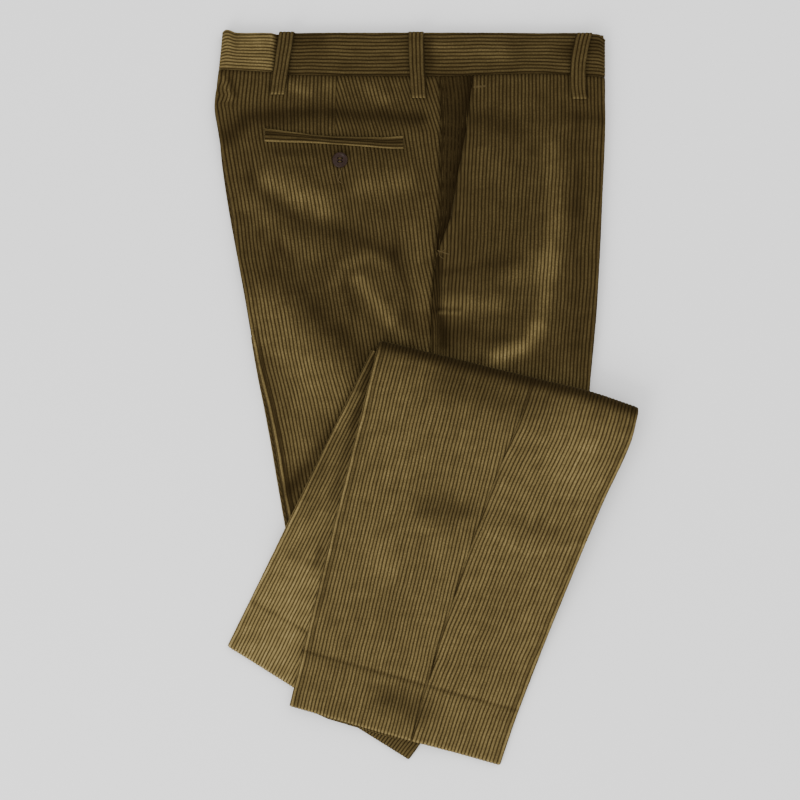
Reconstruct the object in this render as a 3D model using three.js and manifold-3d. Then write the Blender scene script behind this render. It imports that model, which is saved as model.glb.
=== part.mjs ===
// Corduroy trousers laid on their side and folded twice behind the seat, so that both hems come out at the
// lower end. Millimetres, +X across the waistband, +Y from the hems to the waistband, +Z up. The origin is
// under the middle of the whole outline. Each stretch of cloth is a wall whose outer side carries the
// corduroy's wales; they run parallel to a crease and are cut off at the seams.
import * as THREE from "three";
import { mergeVertices } from "three/addons/utils/BufferGeometryUtils.js";
import Module from "manifold-3d";

const WALE_PITCH = 3.6;
const WALE_RISE = 0.7;
const CLOTH = 1.2;
const GAP = 0.3;
const HAIR = 0.1;
const LEG_HALF = 2.55;
const CREASE_DEPTH = 3.5;
const UPPER_TOP = 10;
const BAND_TOP = 9.6;
const LEFT_LEG_TOP = 4.6;
const MIDDLE_BOTTOM = 11;
const MIDDLE_TOP = 15.9;
const FOLD_DEPTH = 9;
const FOLD_HALF = 7.6;
const BAND_HALF = 2.3;
const LEFT_HALF = 1.65;
const LEG_STEP = 2 * LEG_HALF + WALE_RISE + GAP;
const LAYER_DROP = LEG_STEP + 2 * GAP;
const LOOP_WIDTH = 15;
const LOOP_CLOTH = 2;
const LOOP_ARCH = 0.8;
const BUTTON_RADIUS = 7.75;
const BUTTON_THICK = 3;
const BUTTON_LIFT = 0.2;
const WELT_LIFT = 0.1;
const BUTTON_AT = { x: -86, y: 237 };
const BUTTON_HOLE = { radius: 0.9, reach: 1.6, sides: 10, length: 4 * BUTTON_THICK };
const QUARTER_TURN = Math.PI / 2;

// Outlines seen from above.
const SEAT_EDGE = [
  { x: -207, y: 330 },
  { x: -209, y: 313 },
  { x: -211.5, y: 291 },
  { x: -208, y: 268 },
  { x: -203.5, y: 235 },
  { x: -195, y: 187 },
  { x: -188, y: 139 },
  { x: -179, y: 91 },
  { x: -168, y: 29 },
  { x: -156, y: -19 },
  { x: -141, y: -103 },
  { x: -126, y: -179 },
];
const LEFT_LEG_EDGE = [
  { x: -209, y: 330 },
  { x: -205, y: 235 },
  { x: -180.5, y: 91 },
  { x: -169.5, y: 27 },
  { x: -157, y: -37 },
  { x: -146, y: -101 },
  { x: -137, y: -150 },
  { x: -130, y: -179 },
];
const FRONT_EDGE = [
  { x: 178.5, y: 330 },
  { x: 178, y: 297 },
  { x: 178.5, y: 273 },
  { x: 175, y: 187 },
  { x: 170, y: 91 },
  { x: 163, y: 11 },
  { x: 149, y: -179 },
];
const SIDE_SEAM = [
  { x: 11, y: 326 },
  { x: 14, y: 299 },
  { x: 15, y: 280 },
  { x: 13.5, y: 243 },
  { x: 13, y: 192 },
  { x: 10, y: 160 },
  { x: 7, y: 115 },
  { x: 5, y: 61 },
  { x: 5, y: 0 },
];
const POCKET_EDGE = [
  { x: 48, y: 326 },
  { x: 45, y: 303 },
  { x: 38, y: 254 },
  { x: 31, y: 218 },
  { x: 27, y: 187 },
  { x: 20, y: 167 },
  { x: 12, y: 144 },
  { x: 7.5, y: 120 },
];
// The line of the upper fold, and the left leg's edge where it crosses the upper stretch.
const FOLD_LINE = { x: 6, y: 46, fall: 0.243 };
const LEG_EDGE_LINE = { x: -52, y: 50, rise: 2.056 };
const CALM = 24;
const CALM_START = 4;
const UNDER_FOLD = 22;
const BAND_SHAPE = [
  { x: -207, top: 361, bottom: 328 },
  { x: -200, top: 367.5, bottom: 328 },
  { x: -190, top: 364.5, bottom: 327.5 },
  { x: -156, top: 364, bottom: 325.5 },
  { x: -148, top: 362.5, bottom: 324 },
  { x: -130, top: 364, bottom: 322.5 },
  { x: 10, top: 364.5, bottom: 321.5 },
  { x: 114, top: 364, bottom: 324 },
  { x: 172, top: 363, bottom: 321 },
  { x: 179, top: 358, bottom: 320 },
];
const RIGHT_LEG_BACK = [
  { along: 0, x: -46, y: 56 },
  { along: 1, x: -136, y: -308 },
];
const RIGHT_LEG_FRONT = [
  { along: 0, x: 212, y: -11 },
  { along: 0.1, x: 206, y: -45 },
  { along: 0.28, x: 177, y: -107 },
  { along: 0.52, x: 139, y: -195 },
  { along: 0.86, x: 90, y: -319 },
  { along: 1, x: 73, y: -367.5 },
];
const OUTSEAM = [
  { along: 0, share: 0.593 },
  { along: 0.13, share: 0.577 },
  { along: 0.39, share: 0.563 },
  { along: 0.7, share: 0.55 },
  { along: 1, share: 0.563 },
];
const FOLD_BOW = [
  { share: 0, bow: 0 },
  { share: 0.6, bow: 2.5 },
  { share: 0.82, bow: 3.5 },
  { share: 1, bow: 0 },
];
const RIGHT_LEG_LENGTH = 374;
const LEFT_LEG_LENGTH = 408;
const LEFT_LEG_BACK = [
  { along: 0, x: -52, y: 50 },
  { along: 0.62, x: -141, y: -133 },
  { along: 1, x: -197, y: -247 },
];
const LEFT_LEG_FRONT = [
  { along: 0, x: 200, y: -16 },
  { along: 0.95, x: -5, y: -346 },
  { along: 1, x: -17, y: -362 },
];
const LEFT_LEG_SEAM = [
  { along: 0, width: 24 },
  { along: 0.5, width: 62 },
  { along: 1, width: 106 },
];

// Height of the top leg's cloth along it, at its back crease, its middle, beyond the leg below, and its front.
const RIGHT_LEG_HEIGHT = [
  { along: 0, back: 27, middle: 27, low: 27, front: 24.5 },
  { along: 0.3, back: 27, middle: 27, low: 26, front: 23.5 },
  { along: 0.47, back: 27, middle: 27, low: 25.5, front: 21.5 },
  { along: 0.645, back: 26, middle: 24.5, low: 19, front: 13 },
  { along: 0.75, back: 17.5, middle: 16.5, low: 12, front: 8 },
  { along: 0.88, back: 12.8, middle: 12.6, low: 8, front: 6 },
  { along: 1, back: 11.8, middle: 11.7, low: 6.5, front: 5.6 },
];
const HEIGHT_SHARES = { back: 0, middle: 0.63, low: 0.84, front: 1 };
// How far the left leg's outer edge has sunk below the stack beside it.
const LEFT_LEG_SINK = [
  { along: 0, sink: 0.6 },
  { along: 0.2, sink: 3 },
  { along: 0.35, sink: 3.6 },
  { along: 0.5, sink: 3.8 },
  { along: 0.56, sink: 4.2 },
  { along: 0.6, sink: 8 },
  { along: 0.645, sink: 11.3 },
  { along: 0.75, sink: 5.4 },
  { along: 0.88, sink: 1 },
  { along: 1, sink: 0 },
];
const SINK_REACH = 22;
const SINK_START = { most: 22, per: 34 };

// Largest soft folds of the cloth: a ridge or a trough along a line, its half width and its height.
const UPPER_FOLDS = [
  { name: "ridge below the pocket", x0: -160, y0: 212, x1: -30, y1: 205, wide: 16, rise: 0.9 },
  { name: "trough over the thigh", x0: -110, y0: 160, x1: -20, y1: 168, wide: 15, rise: -0.8 },
  { name: "long diagonal ridge", x0: -66, y0: 116, x1: -16, y1: 56, wide: 12, rise: 0.8 },
  { name: "diagonal trough", x0: -100, y0: 90, x1: -56, y1: 26, wide: 14, rise: -1.2 },
  { name: "swell of the lower seat", x0: -146, y0: 78, x1: -112, y1: 20, wide: 22, rise: 1 },
  { name: "trough over the pocket", x0: -180, y0: 290, x1: -14, y1: 286, wide: 12, rise: -0.7 },
  { name: "front trough", x0: 26, y0: 135, x1: 100, y1: 132, wide: 11, rise: -0.7 },
  { name: "front ridge", x0: 66, y0: 40, x1: 120, y1: 62, wide: 11, rise: 0.9 },
  { name: "front hollow", x0: 22, y0: 76, x1: 108, y1: 68, wide: 9, rise: -0.8 },
  { name: "swell beside the crease", x0: 132, y0: 250, x1: 130, y1: 50, wide: 15, rise: 0.6 },
];
const LOWER_FOLDS = [
  { name: "swell of the front knee", x0: 150, y0: -35, x1: 140, y1: -80, wide: 26, rise: 1 },
  { name: "trough across the knee", x0: 0, y0: -108, x1: 64, y1: -112, wide: 15, rise: -0.9 },
  { name: "swell of the back calf", x0: -46, y0: -140, x1: -34, y1: -178, wide: 22, rise: 0.8 },
  { name: "trough above the hem", x0: -40, y0: -300, x1: 0, y1: -312, wide: 16, rise: -0.7 },
];

const COLOURS = {
  cloth: 0x6d5a34,
  bright: 0x77663f,
  shade: 0x3c2f1a,
  band: 0x5b4829,
  button: 0x3a2e26,
};

// A smooth curve through a table: gives column `of` for any value of column `at`.
function profile(rows, at, of) {
  const sorted = [...rows].sort((a, b) => a[at] - b[at]);
  const slope = (i) => {
    const a = sorted[Math.max(0, i - 1)];
    const b = sorted[Math.min(sorted.length - 1, i + 1)];
    return (b[of] - a[of]) / (b[at] - a[at]);
  };
  return (q) => {
    let i = 0;
    while (i < sorted.length - 2 && q > sorted[i + 1][at]) i += 1;
    const [a, b] = [sorted[i], sorted[i + 1]];
    const span = b[at] - a[at];
    const t = (q - a[at]) / span;
    if (t < 0) return a[of] + slope(i) * (q - a[at]);
    if (t > 1) return b[of] + slope(i + 1) * (q - b[at]);
    const [ma, mb] = [slope(i) * span, slope(i + 1) * span];
    const [t2, t3] = [t * t, t * t * t];
    const start = (2 * t3 - 3 * t2 + 1) * a[of] + (t3 - 2 * t2 + t) * ma;
    return start + (3 * t2 - 2 * t3) * b[of] + (t3 - t2) * mb;
  };
}

const smooth = (t) => {
  const q = Math.min(1, Math.max(0, t));
  return q * q * (3 - 2 * q);
};

// Sum of the soft folds at a point.
function folds(table, x, y) {
  let sum = 0;
  for (const f of table) {
    const [dx, dy] = [f.x1 - f.x0, f.y1 - f.y0];
    const t = Math.min(1, Math.max(0, ((x - f.x0) * dx + (y - f.y0) * dy) / (dx * dx + dy * dy)));
    const away = Math.hypot(x - f.x0 - t * dx, y - f.y0 - t * dy) / f.wide;
    sum += f.rise * Math.exp(-away * away);
  }
  return sum;
}

const seatX = profile(SEAT_EDGE, "y", "x");
const leftLegX = profile(LEFT_LEG_EDGE, "y", "x");
const frontX = profile(FRONT_EDGE, "y", "x");
const seamX = profile(SIDE_SEAM, "y", "x");
const pocketX = profile(POCKET_EDGE, "y", "x");
const bandTop = profile(BAND_SHAPE, "x", "top");
const bandBottom = profile(BAND_SHAPE, "x", "bottom");

const foldY = (x) => FOLD_LINE.y - FOLD_LINE.fall * (x - FOLD_LINE.x);
const legEdgeY = (x) => LEG_EDGE_LINE.y + LEG_EDGE_LINE.rise * (x - LEG_EDGE_LINE.x);
const upperHeight = (x, y) => {
  const covered = Math.min(foldY(x), legEdgeY(x));
  const inward = smooth((x - seatX(y)) / CALM) * smooth((frontX(y) - x) / CALM);
  const calm = inward * smooth((bandBottom(x) - y) / CALM) * smooth((y - covered - CALM_START) / CALM);
  return UPPER_TOP + folds(UPPER_FOLDS, x, y) * calm;
};

// A leg's plan: a point at `along` (0 fold, 1 hem) and a distance from its back or its front crease.
function legPlan(back, front) {
  const [bx, by] = [profile(back, "along", "x"), profile(back, "along", "y")];
  const [fx, fy] = [profile(front, "along", "x"), profile(front, "along", "y")];
  const width = (a) => Math.hypot(fx(a) - bx(a), fy(a) - by(a));
  const place = (a, share) => [bx(a) + (fx(a) - bx(a)) * share, by(a) + (fy(a) - by(a)) * share];
  return { width, place };
}

const rightLeg = legPlan(RIGHT_LEG_BACK, RIGHT_LEG_FRONT);
const leftLeg = legPlan(LEFT_LEG_BACK, LEFT_LEG_FRONT);
const outseamShare = profile(OUTSEAM, "along", "share");
const foldBow = profile(FOLD_BOW, "share", "bow");
const heightSides = Object.entries(HEIGHT_SHARES).map(([side, share]) => ({
  share,
  rise: profile(RIGHT_LEG_HEIGHT, "along", side),
}));

const rightLegHeight = (along, share) => {
  const a = Math.min(1, Math.max(0, along));
  const s = Math.min(1, Math.max(0, share));
  let i = 0;
  while (i < heightSides.length - 2 && s > heightSides[i + 1].share) i += 1;
  const [from, to] = [heightSides[i], heightSides[i + 1]];
  const t = smooth((s - from.share) / (to.share - from.share));
  return from.rise(a) + (to.rise(a) - from.rise(a)) * t;
};

// Where a point lies on the right leg: its `along`, and how far outside the back crease it is.
const HALVINGS = 30;
function overRightLeg(x, y) {
  let [near, off] = [0, 1];
  for (let i = 0; i < HALVINGS; i += 1) {
    const half = (near + off) / 2;
    const [x0, y0] = rightLeg.place(half, 0);
    const [x1, y1] = rightLeg.place(half, 1);
    if ((x1 - x0) * (y - y0) - (y1 - y0) * (x - x0) < 0) near = half;
    else off = half;
  }
  const [x0, y0] = rightLeg.place(near, 0);
  const [x1, y1] = rightLeg.place(near, 1);
  const size = Math.hypot(x1 - x0, y1 - y0);
  return { along: near, outside: -((x - x0) * (x1 - x0) + (y - y0) * (y1 - y0)) / size };
}

const sinkDepth = profile(LEFT_LEG_SINK, "along", "sink");
const leftLegHeight = (x, y) => {
  const { along, outside } = overRightLeg(x, y);
  const share = Math.max(0, -outside) / rightLeg.width(along);
  const start = Math.min(SINK_START.most, SINK_START.per * along);
  const sunk = sinkDepth(along) * smooth((outside - start) / SINK_REACH);
  return rightLegHeight(along, share) - LAYER_DROP - sunk;
};

// Closed geometry from triangles given as triples of points, facing outwards.
const SAME_POINT = 1e-3;
function solid(triangles) {
  const flat = triangles.flat().flatMap((p) => [p.x, p.y, p.z]);
  let volume = 0;
  for (const [a, b, c] of triangles) volume += a.dot(b.clone().cross(c));
  if (volume < 0) {
    for (let i = 0; i < flat.length; i += 9) {
      for (let k = 0; k < 3; k += 1) [flat[i + 3 + k], flat[i + 6 + k]] = [flat[i + 6 + k], flat[i + 3 + k]];
    }
  }
  const geometry = new THREE.BufferGeometry();
  geometry.setAttribute("position", new THREE.Float32BufferAttribute(flat, 3));
  return mergeVertices(geometry, SAME_POINT);
}

// A wall of cloth: `columns` run along the wales, each with its `rise` above the ground of the cloth; the
// inner side is plain and keeps only the columns marked `coarse`. `point(column, row)` is on the ground.
// Every wall faces up at FACES_UP of its columns and rows.
const FACES_UP = 0.6;
function wall(columns, rows, point, cloth = CLOTH) {
  const ground = columns.map((c) => Array.from({ length: rows + 1 }, (_, j) => point(c, j)));
  const last = columns.length - 1;
  const normalAt = (i, j) => {
    const across = ground[Math.min(last, i + 1)][j].clone().sub(ground[Math.max(0, i - 1)][j]);
    const down = ground[i][Math.min(rows, j + 1)].clone().sub(ground[i][Math.max(0, j - 1)]);
    return across.cross(down).normalize();
  };
  const sign = Math.sign(normalAt(Math.floor(last * FACES_UP), Math.ceil(rows * FACES_UP)).z);
  const riseAt = (c, j) => (c.risen ? c.risen(j) : c.rise);
  const moved = (i, j, off) => ground[i][j].clone().addScaledVector(normalAt(i, j), sign * off);
  const outer = columns.map((c, i) => ground[i].map((_, j) => moved(i, j, riseAt(c, j))));
  const kept = columns.map((c, i) => (c.coarse || i === 0 || i === last ? i : -1)).filter((i) => i >= 0);
  const inner = kept.map((i) => ground[i].map((_, j) => moved(i, j, -cloth)));
  const faces = [];
  const quad = (a, b, c, d) => faces.push([a, b, c], [a, c, d]);
  for (let j = 0; j < rows; j += 1) {
    for (let i = 0; i < last; i += 1) quad(outer[i][j], outer[i + 1][j], outer[i + 1][j + 1], outer[i][j + 1]);
    for (let m = 0; m < kept.length - 1; m += 1) {
      quad(inner[m][j], inner[m][j + 1], inner[m + 1][j + 1], inner[m + 1][j]);
    }
    const end = kept.length - 1;
    quad(outer[0][j], outer[0][j + 1], inner[0][j + 1], inner[0][j]);
    quad(outer[last][j], inner[end][j], inner[end][j + 1], outer[last][j + 1]);
  }
  for (const j of [0, rows]) {
    const face = (a, b, c) => faces.push(j === 0 ? [a, c, b] : [a, b, c]);
    for (let m = 0; m < kept.length - 1; m += 1) {
      const [from, to] = [kept[m], kept[m + 1]];
      const half = Math.floor((from + to) / 2);
      for (let i = from; i < to; i += 1) face(outer[i][j], outer[i + 1][j], inner[i < half ? m : m + 1][j]);
      face(inner[m][j], outer[half][j], inner[m + 1][j]);
    }
  }
  return solid(faces);
}

// Columns from a crease inwards: the turn round the crease, then the flat wales out to `reach`.
const CREASE_TURNS = 6;
const COARSE_EVERY = 8;
function waleColumns(reach, creased = true) {
  const list = [];
  const start = creased ? CREASE_DEPTH : 0;
  for (let i = 0; creased && i < CREASE_TURNS; i += 1) {
    const turn = -QUARTER_TURN + (i * Math.PI) / CREASE_TURNS;
    list.push({ turn, distance: 0, rise: i % 2 && turn > -QUARTER_TURN / 2 ? WALE_RISE : 0, coarse: i % 2 === 0 });
  }
  const count = 2 * Math.round((reach - start) / WALE_PITCH);
  for (let i = 0; i <= count; i += 1) {
    const distance = start + ((reach - start) * i) / count;
    list.push({ turn: QUARTER_TURN, distance, rise: i % 2 ? WALE_RISE : 0, coarse: i % COARSE_EVERY === 0 });
  }
  return list;
}

// Section of the turn round a crease: how far in from it, and how far below the top.
const creaseIn = (turn, distance) => (turn < QUARTER_TURN ? CREASE_DEPTH * (1 - Math.cos(turn)) : distance);
const creaseDown = (turn, half = LEG_HALF) => half * (Math.sin(turn) - 1);

// Where a panel that is `widest` at one place has narrowed to `distance`, on the way to `far`.
function narrowedTo(distance, width, widest, far) {
  if (width(far) >= distance) return far;
  let [near, off] = [widest, far];
  for (let i = 0; i < HALVINGS; i += 1) {
    const half = (near + off) / 2;
    if (width(half) >= distance) near = half;
    else off = half;
  }
  return near;
}

// Where a column that keeps its distance from a crease meets the slanted line `edge`.
function meet(edge, crease, offset, start) {
  let y = start;
  for (let i = 0; i < HALVINGS; i += 1) y = edge(crease(y) + offset);
  return y;
}

const parts = [];
const piece = (name, geometry, colour, roughness = 0.95) => {
  const mesh = new THREE.Mesh(geometry, new THREE.MeshStandardMaterial({ color: colour, roughness }));
  mesh.name = name;
  parts.push(mesh);
};

// Upper stretch: a panel between a crease and a seam. Its wales are parallel to the crease; they spread with
// the panel on one side of the place where it is widest, and are cut off at the seam on the other.
function upperPanel({ crease, seam, side, top, bottom, widest, spreadsAbove, rows, height, creased = true }) {
  const inset = creased ? 0 : 2 * GAP;
  const width = (y) => Math.abs(seam(y) - crease(y)) - GAP / 2 - 2 * inset;
  const reach = width(widest);
  const columns = waleColumns(reach, creased).map((c) => {
    const offset = side * c.distance;
    const high = meet(top, crease, offset, widest);
    const low = meet(bottom, crease, offset, widest);
    const far = narrowedTo(Math.min(c.distance, reach), width, widest, spreadsAbove ? low : high);
    const cut = far !== (spreadsAbove ? low : high);
    return {
      ...c,
      high: spreadsAbove ? high : far,
      low: spreadsAbove ? far : low,
      coarse: c.coarse || (cut && c.rise === 0),
    };
  });
  const point = (c, j) => {
    const y = c.high + ((c.low - c.high) * j) / rows;
    const spread = y > widest === spreadsAbove ? width(y) / reach : 1;
    const turning = c.turn < QUARTER_TURN;
    const x = crease(y) + side * (turning ? creaseIn(c.turn, 0) : inset + c.distance * spread);
    return new THREE.Vector3(x, y, height(x, y) + (turning ? creaseDown(c.turn) : 0));
  };
  return wall(columns, rows, point);
}

const PANEL_END = -138;
const panelTop = (x) => bandBottom(x) - 2 * GAP;
const panelBottom = (x) => Math.max(PANEL_END, Math.min(foldY(x), legEdgeY(x)) - UNDER_FOLD);
const SEAT_WIDEST = 285;
const FRONT_WIDEST = 92;
const FACING_WIDEST = 320;
const FACING_LOW = CLOTH + WALE_RISE + GAP + HAIR;
const FACING_UNDER = 2;
const FACING_END = 172;
piece(
  "right_back_upper",
  upperPanel({
    crease: seatX,
    seam: seamX,
    side: 1,
    top: panelTop,
    bottom: panelBottom,
    widest: SEAT_WIDEST,
    spreadsAbove: true,
    rows: 8,
    height: upperHeight,
  }),
  COLOURS.cloth,
);
const frontSeamX = (y) => Math.max(seamX(y), pocketX(y));
piece(
  "right_front_upper",
  upperPanel({
    crease: frontX,
    seam: frontSeamX,
    side: -1,
    top: panelTop,
    bottom: panelBottom,
    widest: FRONT_WIDEST,
    spreadsAbove: false,
    rows: 7,
    height: upperHeight,
  }),
  COLOURS.cloth,
);
piece(
  "side_pocket_facing",
  upperPanel({
    crease: seamX,
    seam: (y) => pocketX(y) + FACING_UNDER,
    side: 1,
    top: panelTop,
    bottom: () => FACING_END,
    widest: FACING_WIDEST,
    spreadsAbove: true,
    rows: 6,
    height: (x, y) => upperHeight(x, y) - FACING_LOW,
    creased: false,
  }),
  COLOURS.shade,
);

// The left leg shows as a narrow edge below the right one.
const PEEK = { reach: 9, high: 60, low: -140, rows: 6 };
piece(
  "left_back_upper",
  wall(waleColumns(PEEK.reach), PEEK.rows, (c, j) => {
    const y = PEEK.high + ((PEEK.low - PEEK.high) * j) / PEEK.rows;
    const x = leftLegX(y) + creaseIn(c.turn, c.distance);
    const z = LEFT_LEG_TOP - WALE_RISE - 2 * GAP + (c.turn < QUARTER_TURN ? creaseDown(c.turn, LEFT_HALF) : 0);
    return new THREE.Vector3(x, y, z);
  }),
  COLOURS.cloth,
);

// Lower stretch of the top leg: its cloth comes up round the fold, then lies down to the hem.
const OUTSEAM_ROOM = 0.6;
const BOW_REACH = 0.12;
const CALM_SHARE = 0.06;
const FOLD_TURNS = 3;
const FLAT_AT = [0, 0.1, 0.22, 0.42, 0.55, 0.65, 0.75, 0.87, 1];
const FLAT_ROWS = FLAT_AT.length - 1;
function lowerPanel({ fromBack, widest, share }) {
  const width = (a) => rightLeg.width(a) * share(a) - OUTSEAM_ROOM;
  const reach = width(widest);
  const columns = waleColumns(reach).map((c) => {
    const end = narrowedTo(Math.min(c.distance, reach), width, widest, 1);
    return { ...c, end, coarse: c.coarse || (end < 1 && c.rise === 0) };
  });
  const start = FOLD_DEPTH / RIGHT_LEG_LENGTH;
  return wall(columns, FOLD_TURNS + FLAT_ROWS, (c, j) => {
    const turning = c.turn < QUARTER_TURN;
    const down = turning ? creaseDown(c.turn) : 0;
    const swing = j < FOLD_TURNS ? Math.PI * (1 - j / FOLD_TURNS) : 0;
    const flat = start + (c.end - start) * FLAT_AT[Math.max(0, j - FOLD_TURNS)];
    const a = flat - ((FOLD_DEPTH + down) * Math.sin(swing)) / RIGHT_LEG_LENGTH;
    const spread = a < widest ? width(a) / reach : 1;
    const away = (turning ? creaseIn(c.turn, 0) : c.distance * spread) / rightLeg.width(a);
    const across = fromBack ? away : 1 - away;
    const [x, y] = rightLeg.place(a, across);
    const bow = foldBow(across) * Math.max(0, 1 - a / BOW_REACH);
    const top = rightLegHeight(a, across) + folds(LOWER_FOLDS, x, y) * smooth((1 - a) / CALM_SHARE);
    return new THREE.Vector3(x, y + bow, top - FOLD_HALF + (FOLD_HALF + down) * Math.cos(swing));
  });
}

piece("right_back_lower", lowerPanel({ fromBack: true, widest: 0.08, share: outseamShare }), COLOURS.bright);
piece(
  "right_front_lower",
  lowerPanel({ fromBack: false, widest: 0.12, share: (a) => 1 - outseamShare(a) }),
  COLOURS.bright,
);

// Lower stretch of the left leg: its back panel, and the corner of its front panel that shows at the hem.
const leftSeam = profile(LEFT_LEG_SEAM, "along", "width");
const LEFT_START = 0.05;
const LEFT_LATEST = 0.96;
const LEFT_AT = [0, 0.2, 0.4, 0.52, 0.62, 0.72, 0.85, 1];
const LEFT_ROWS = LEFT_AT.length - 1;
const leftWales = waleColumns(leftSeam(1)).map((c) => ({
  ...c,
  start: narrowedTo(c.distance, leftSeam, 1, LEFT_START),
}));
piece(
  "left_back_lower",
  wall(leftWales, LEFT_ROWS, (c, j) => {
    const first = Math.min(c.start, LEFT_LATEST);
    const a = first + (1 - first) * LEFT_AT[j];
    const turning = c.turn < QUARTER_TURN;
    const [x, y] = leftLeg.place(a, creaseIn(c.turn, c.distance) / leftLeg.width(a));
    return new THREE.Vector3(x, y, leftLegHeight(x, y) + (turning ? creaseDown(c.turn) : 0));
  }),
  COLOURS.bright,
);
const BESIDE_END = 0.86;
const CORNER = { reach: 26, from: BESIDE_END + (GAP + HAIR) / LEFT_LEG_LENGTH, rows: 3, top: 2 * LEG_HALF + HAIR };
piece(
  "left_front_lower",
  wall(waleColumns(CORNER.reach), CORNER.rows, (c, j) => {
    const a = CORNER.from + ((1 - CORNER.from) * j) / CORNER.rows;
    const turning = c.turn < QUARTER_TURN;
    const [x, y] = leftLeg.place(a, 1 - creaseIn(c.turn, c.distance) / leftLeg.width(a));
    return new THREE.Vector3(x, y, CORNER.top + (turning ? creaseDown(c.turn) : 0));
  }),
  COLOURS.cloth,
);

// Waistband: its wales run along it, and it turns round both creases.
const BAND_WALES = 11;
const BAND_FLAT = 10;
const BAND_ROUND = { reach: 0.07, drop: 1.4 };
const BAND_UNDER = 2;
const BAND_ROWS = 2 * CREASE_TURNS + BAND_FLAT;
const bandColumns = Array.from({ length: 2 * BAND_WALES + 1 }, (_, i) => ({
  down: i / (2 * BAND_WALES),
  risen: (j) => (i % 2 && j >= BAND_UNDER && j <= BAND_ROWS - BAND_UNDER ? WALE_RISE : 0),
  coarse: i % COARSE_EVERY === 0,
}));
piece(
  "waistband",
  wall(bandColumns, BAND_ROWS, (c, j) => {
    const leftTurn = Math.min(QUARTER_TURN, -QUARTER_TURN + (j * Math.PI) / CREASE_TURNS);
    const past = j - CREASE_TURNS - BAND_FLAT;
    const rightTurn = Math.min(QUARTER_TURN, QUARTER_TURN - (past * Math.PI) / CREASE_TURNS);
    const flat = Math.min(1, Math.max(0, (j - CREASE_TURNS) / BAND_FLAT));
    const guess = BAND_SHAPE[0].x + flat * (BAND_SHAPE.at(-1).x - BAND_SHAPE[0].x);
    const yAt = (x) => bandTop(x) + (bandBottom(x) - bandTop(x)) * c.down;
    const [left, right] = [seatX(yAt(guess)) + CREASE_DEPTH, frontX(yAt(guess)) - CREASE_DEPTH];
    let x = left + (right - left) * flat;
    if (leftTurn < QUARTER_TURN) x = left - CREASE_DEPTH * Math.cos(leftTurn);
    if (rightTurn < QUARTER_TURN) x = right + CREASE_DEPTH * Math.cos(rightTurn);
    const turn = Math.min(leftTurn, rightTurn);
    const round = BAND_ROUND.drop * Math.max(0, Math.sin(turn)) * Math.max(0, 1 - c.down / BAND_ROUND.reach) ** 2;
    return new THREE.Vector3(x, yAt(x), BAND_TOP - round + creaseDown(turn, BAND_HALF));
  }),
  COLOURS.band,
);

// Belt loops: narrow folded strips on the waistband, a little arched, their lower ends on the panels.
const LOOPS = [
  { name: "belt_loop_back", topX: -139, midX: -144, lowX: -149, topY: 365, lowY: 303 },
  { name: "belt_loop_side", topX: -10, midX: -9, lowX: -7, topY: 365, lowY: 299.5 },
  { name: "belt_loop_front", topX: 158.5, midX: 152, lowX: 154, topY: 364, lowY: 298.5 },
];
const LOOP_WALES = 4;
const LOOP_ROWS = 6;
for (const loop of LOOPS) {
  const columns = Array.from({ length: 2 * LOOP_WALES + 1 }, (_, i) => ({
    off: (i / (2 * LOOP_WALES) - 0.5) * LOOP_WIDTH,
    rise: i % 2 ? WALE_RISE : 0,
    coarse: i === LOOP_WALES,
  }));
  const point = (c, j) => {
    const t = j / LOOP_ROWS;
    const bend = t * (1 - t) * (4 * loop.midX - 2 * loop.topX - 2 * loop.lowX);
    const x = loop.topX + (loop.lowX - loop.topX) * t + bend + c.off;
    const base = UPPER_TOP + WALE_RISE + GAP + LOOP_CLOTH;
    return new THREE.Vector3(x, loop.topY + (loop.lowY - loop.topY) * t, base + LOOP_ARCH * Math.sin(Math.PI * t));
  };
  piece(loop.name, wall(columns, LOOP_ROWS, point, LOOP_CLOTH), COLOURS.band);
}

// Back pocket: two narrow welts that meet at the slit, laid on the panel.
const WELTS = [
  { x: -161, top: 269, slit: 263.5, bottom: 256 },
  { x: -136, top: 265, slit: 261.5, bottom: 255 },
  { x: -109, top: 261.5, slit: 259.5, bottom: 254.3 },
  { x: -66, top: 260, slit: 256.4, bottom: 251.5 },
  { x: -36, top: 260, slit: 254.3, bottom: 249 },
  { x: -23, top: 261, slit: 254.5, bottom: 248.8 },
];
const WELT_ROWS = 10;
const WELT_COLUMNS = [0, 1, 2].map((i) => ({ share: i / 2, rise: i % 2 ? WALE_RISE / 2 : 0, coarse: false }));
for (const [name, from, to, shift] of [
  ["back_pocket_upper_welt", "top", "slit", GAP / 2],
  ["back_pocket_lower_welt", "slit", "bottom", -GAP / 2],
]) {
  const [high, low] = [profile(WELTS, "x", from), profile(WELTS, "x", to)];
  const [first, last] = [WELTS[0].x, WELTS.at(-1).x];
  const point = (c, j) => {
    const x = first + ((last - first) * j) / WELT_ROWS;
    const y = high(x) + (low(x) - high(x)) * c.share + shift;
    return new THREE.Vector3(x, y, UPPER_TOP + WELT_LIFT + WALE_RISE + GAP + CLOTH);
  };
  piece(name, wall(WELT_COLUMNS, WELT_ROWS, point), COLOURS.cloth);
}

const wasm = await Module();
wasm.setup();

// Joining and cutting of closed shapes.
function toManifold(geometry) {
  const bare = new THREE.BufferGeometry();
  bare.setAttribute("position", geometry.getAttribute("position"));
  bare.setIndex(geometry.getIndex());
  const merged = mergeVertices(bare, SAME_POINT);
  const vertProperties = new Float32Array(merged.getAttribute("position").array);
  const triVerts = new Uint32Array(merged.getIndex().array);
  return new wasm.Manifold(new wasm.Mesh({ numProp: 3, vertProperties, triVerts }));
}

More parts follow.
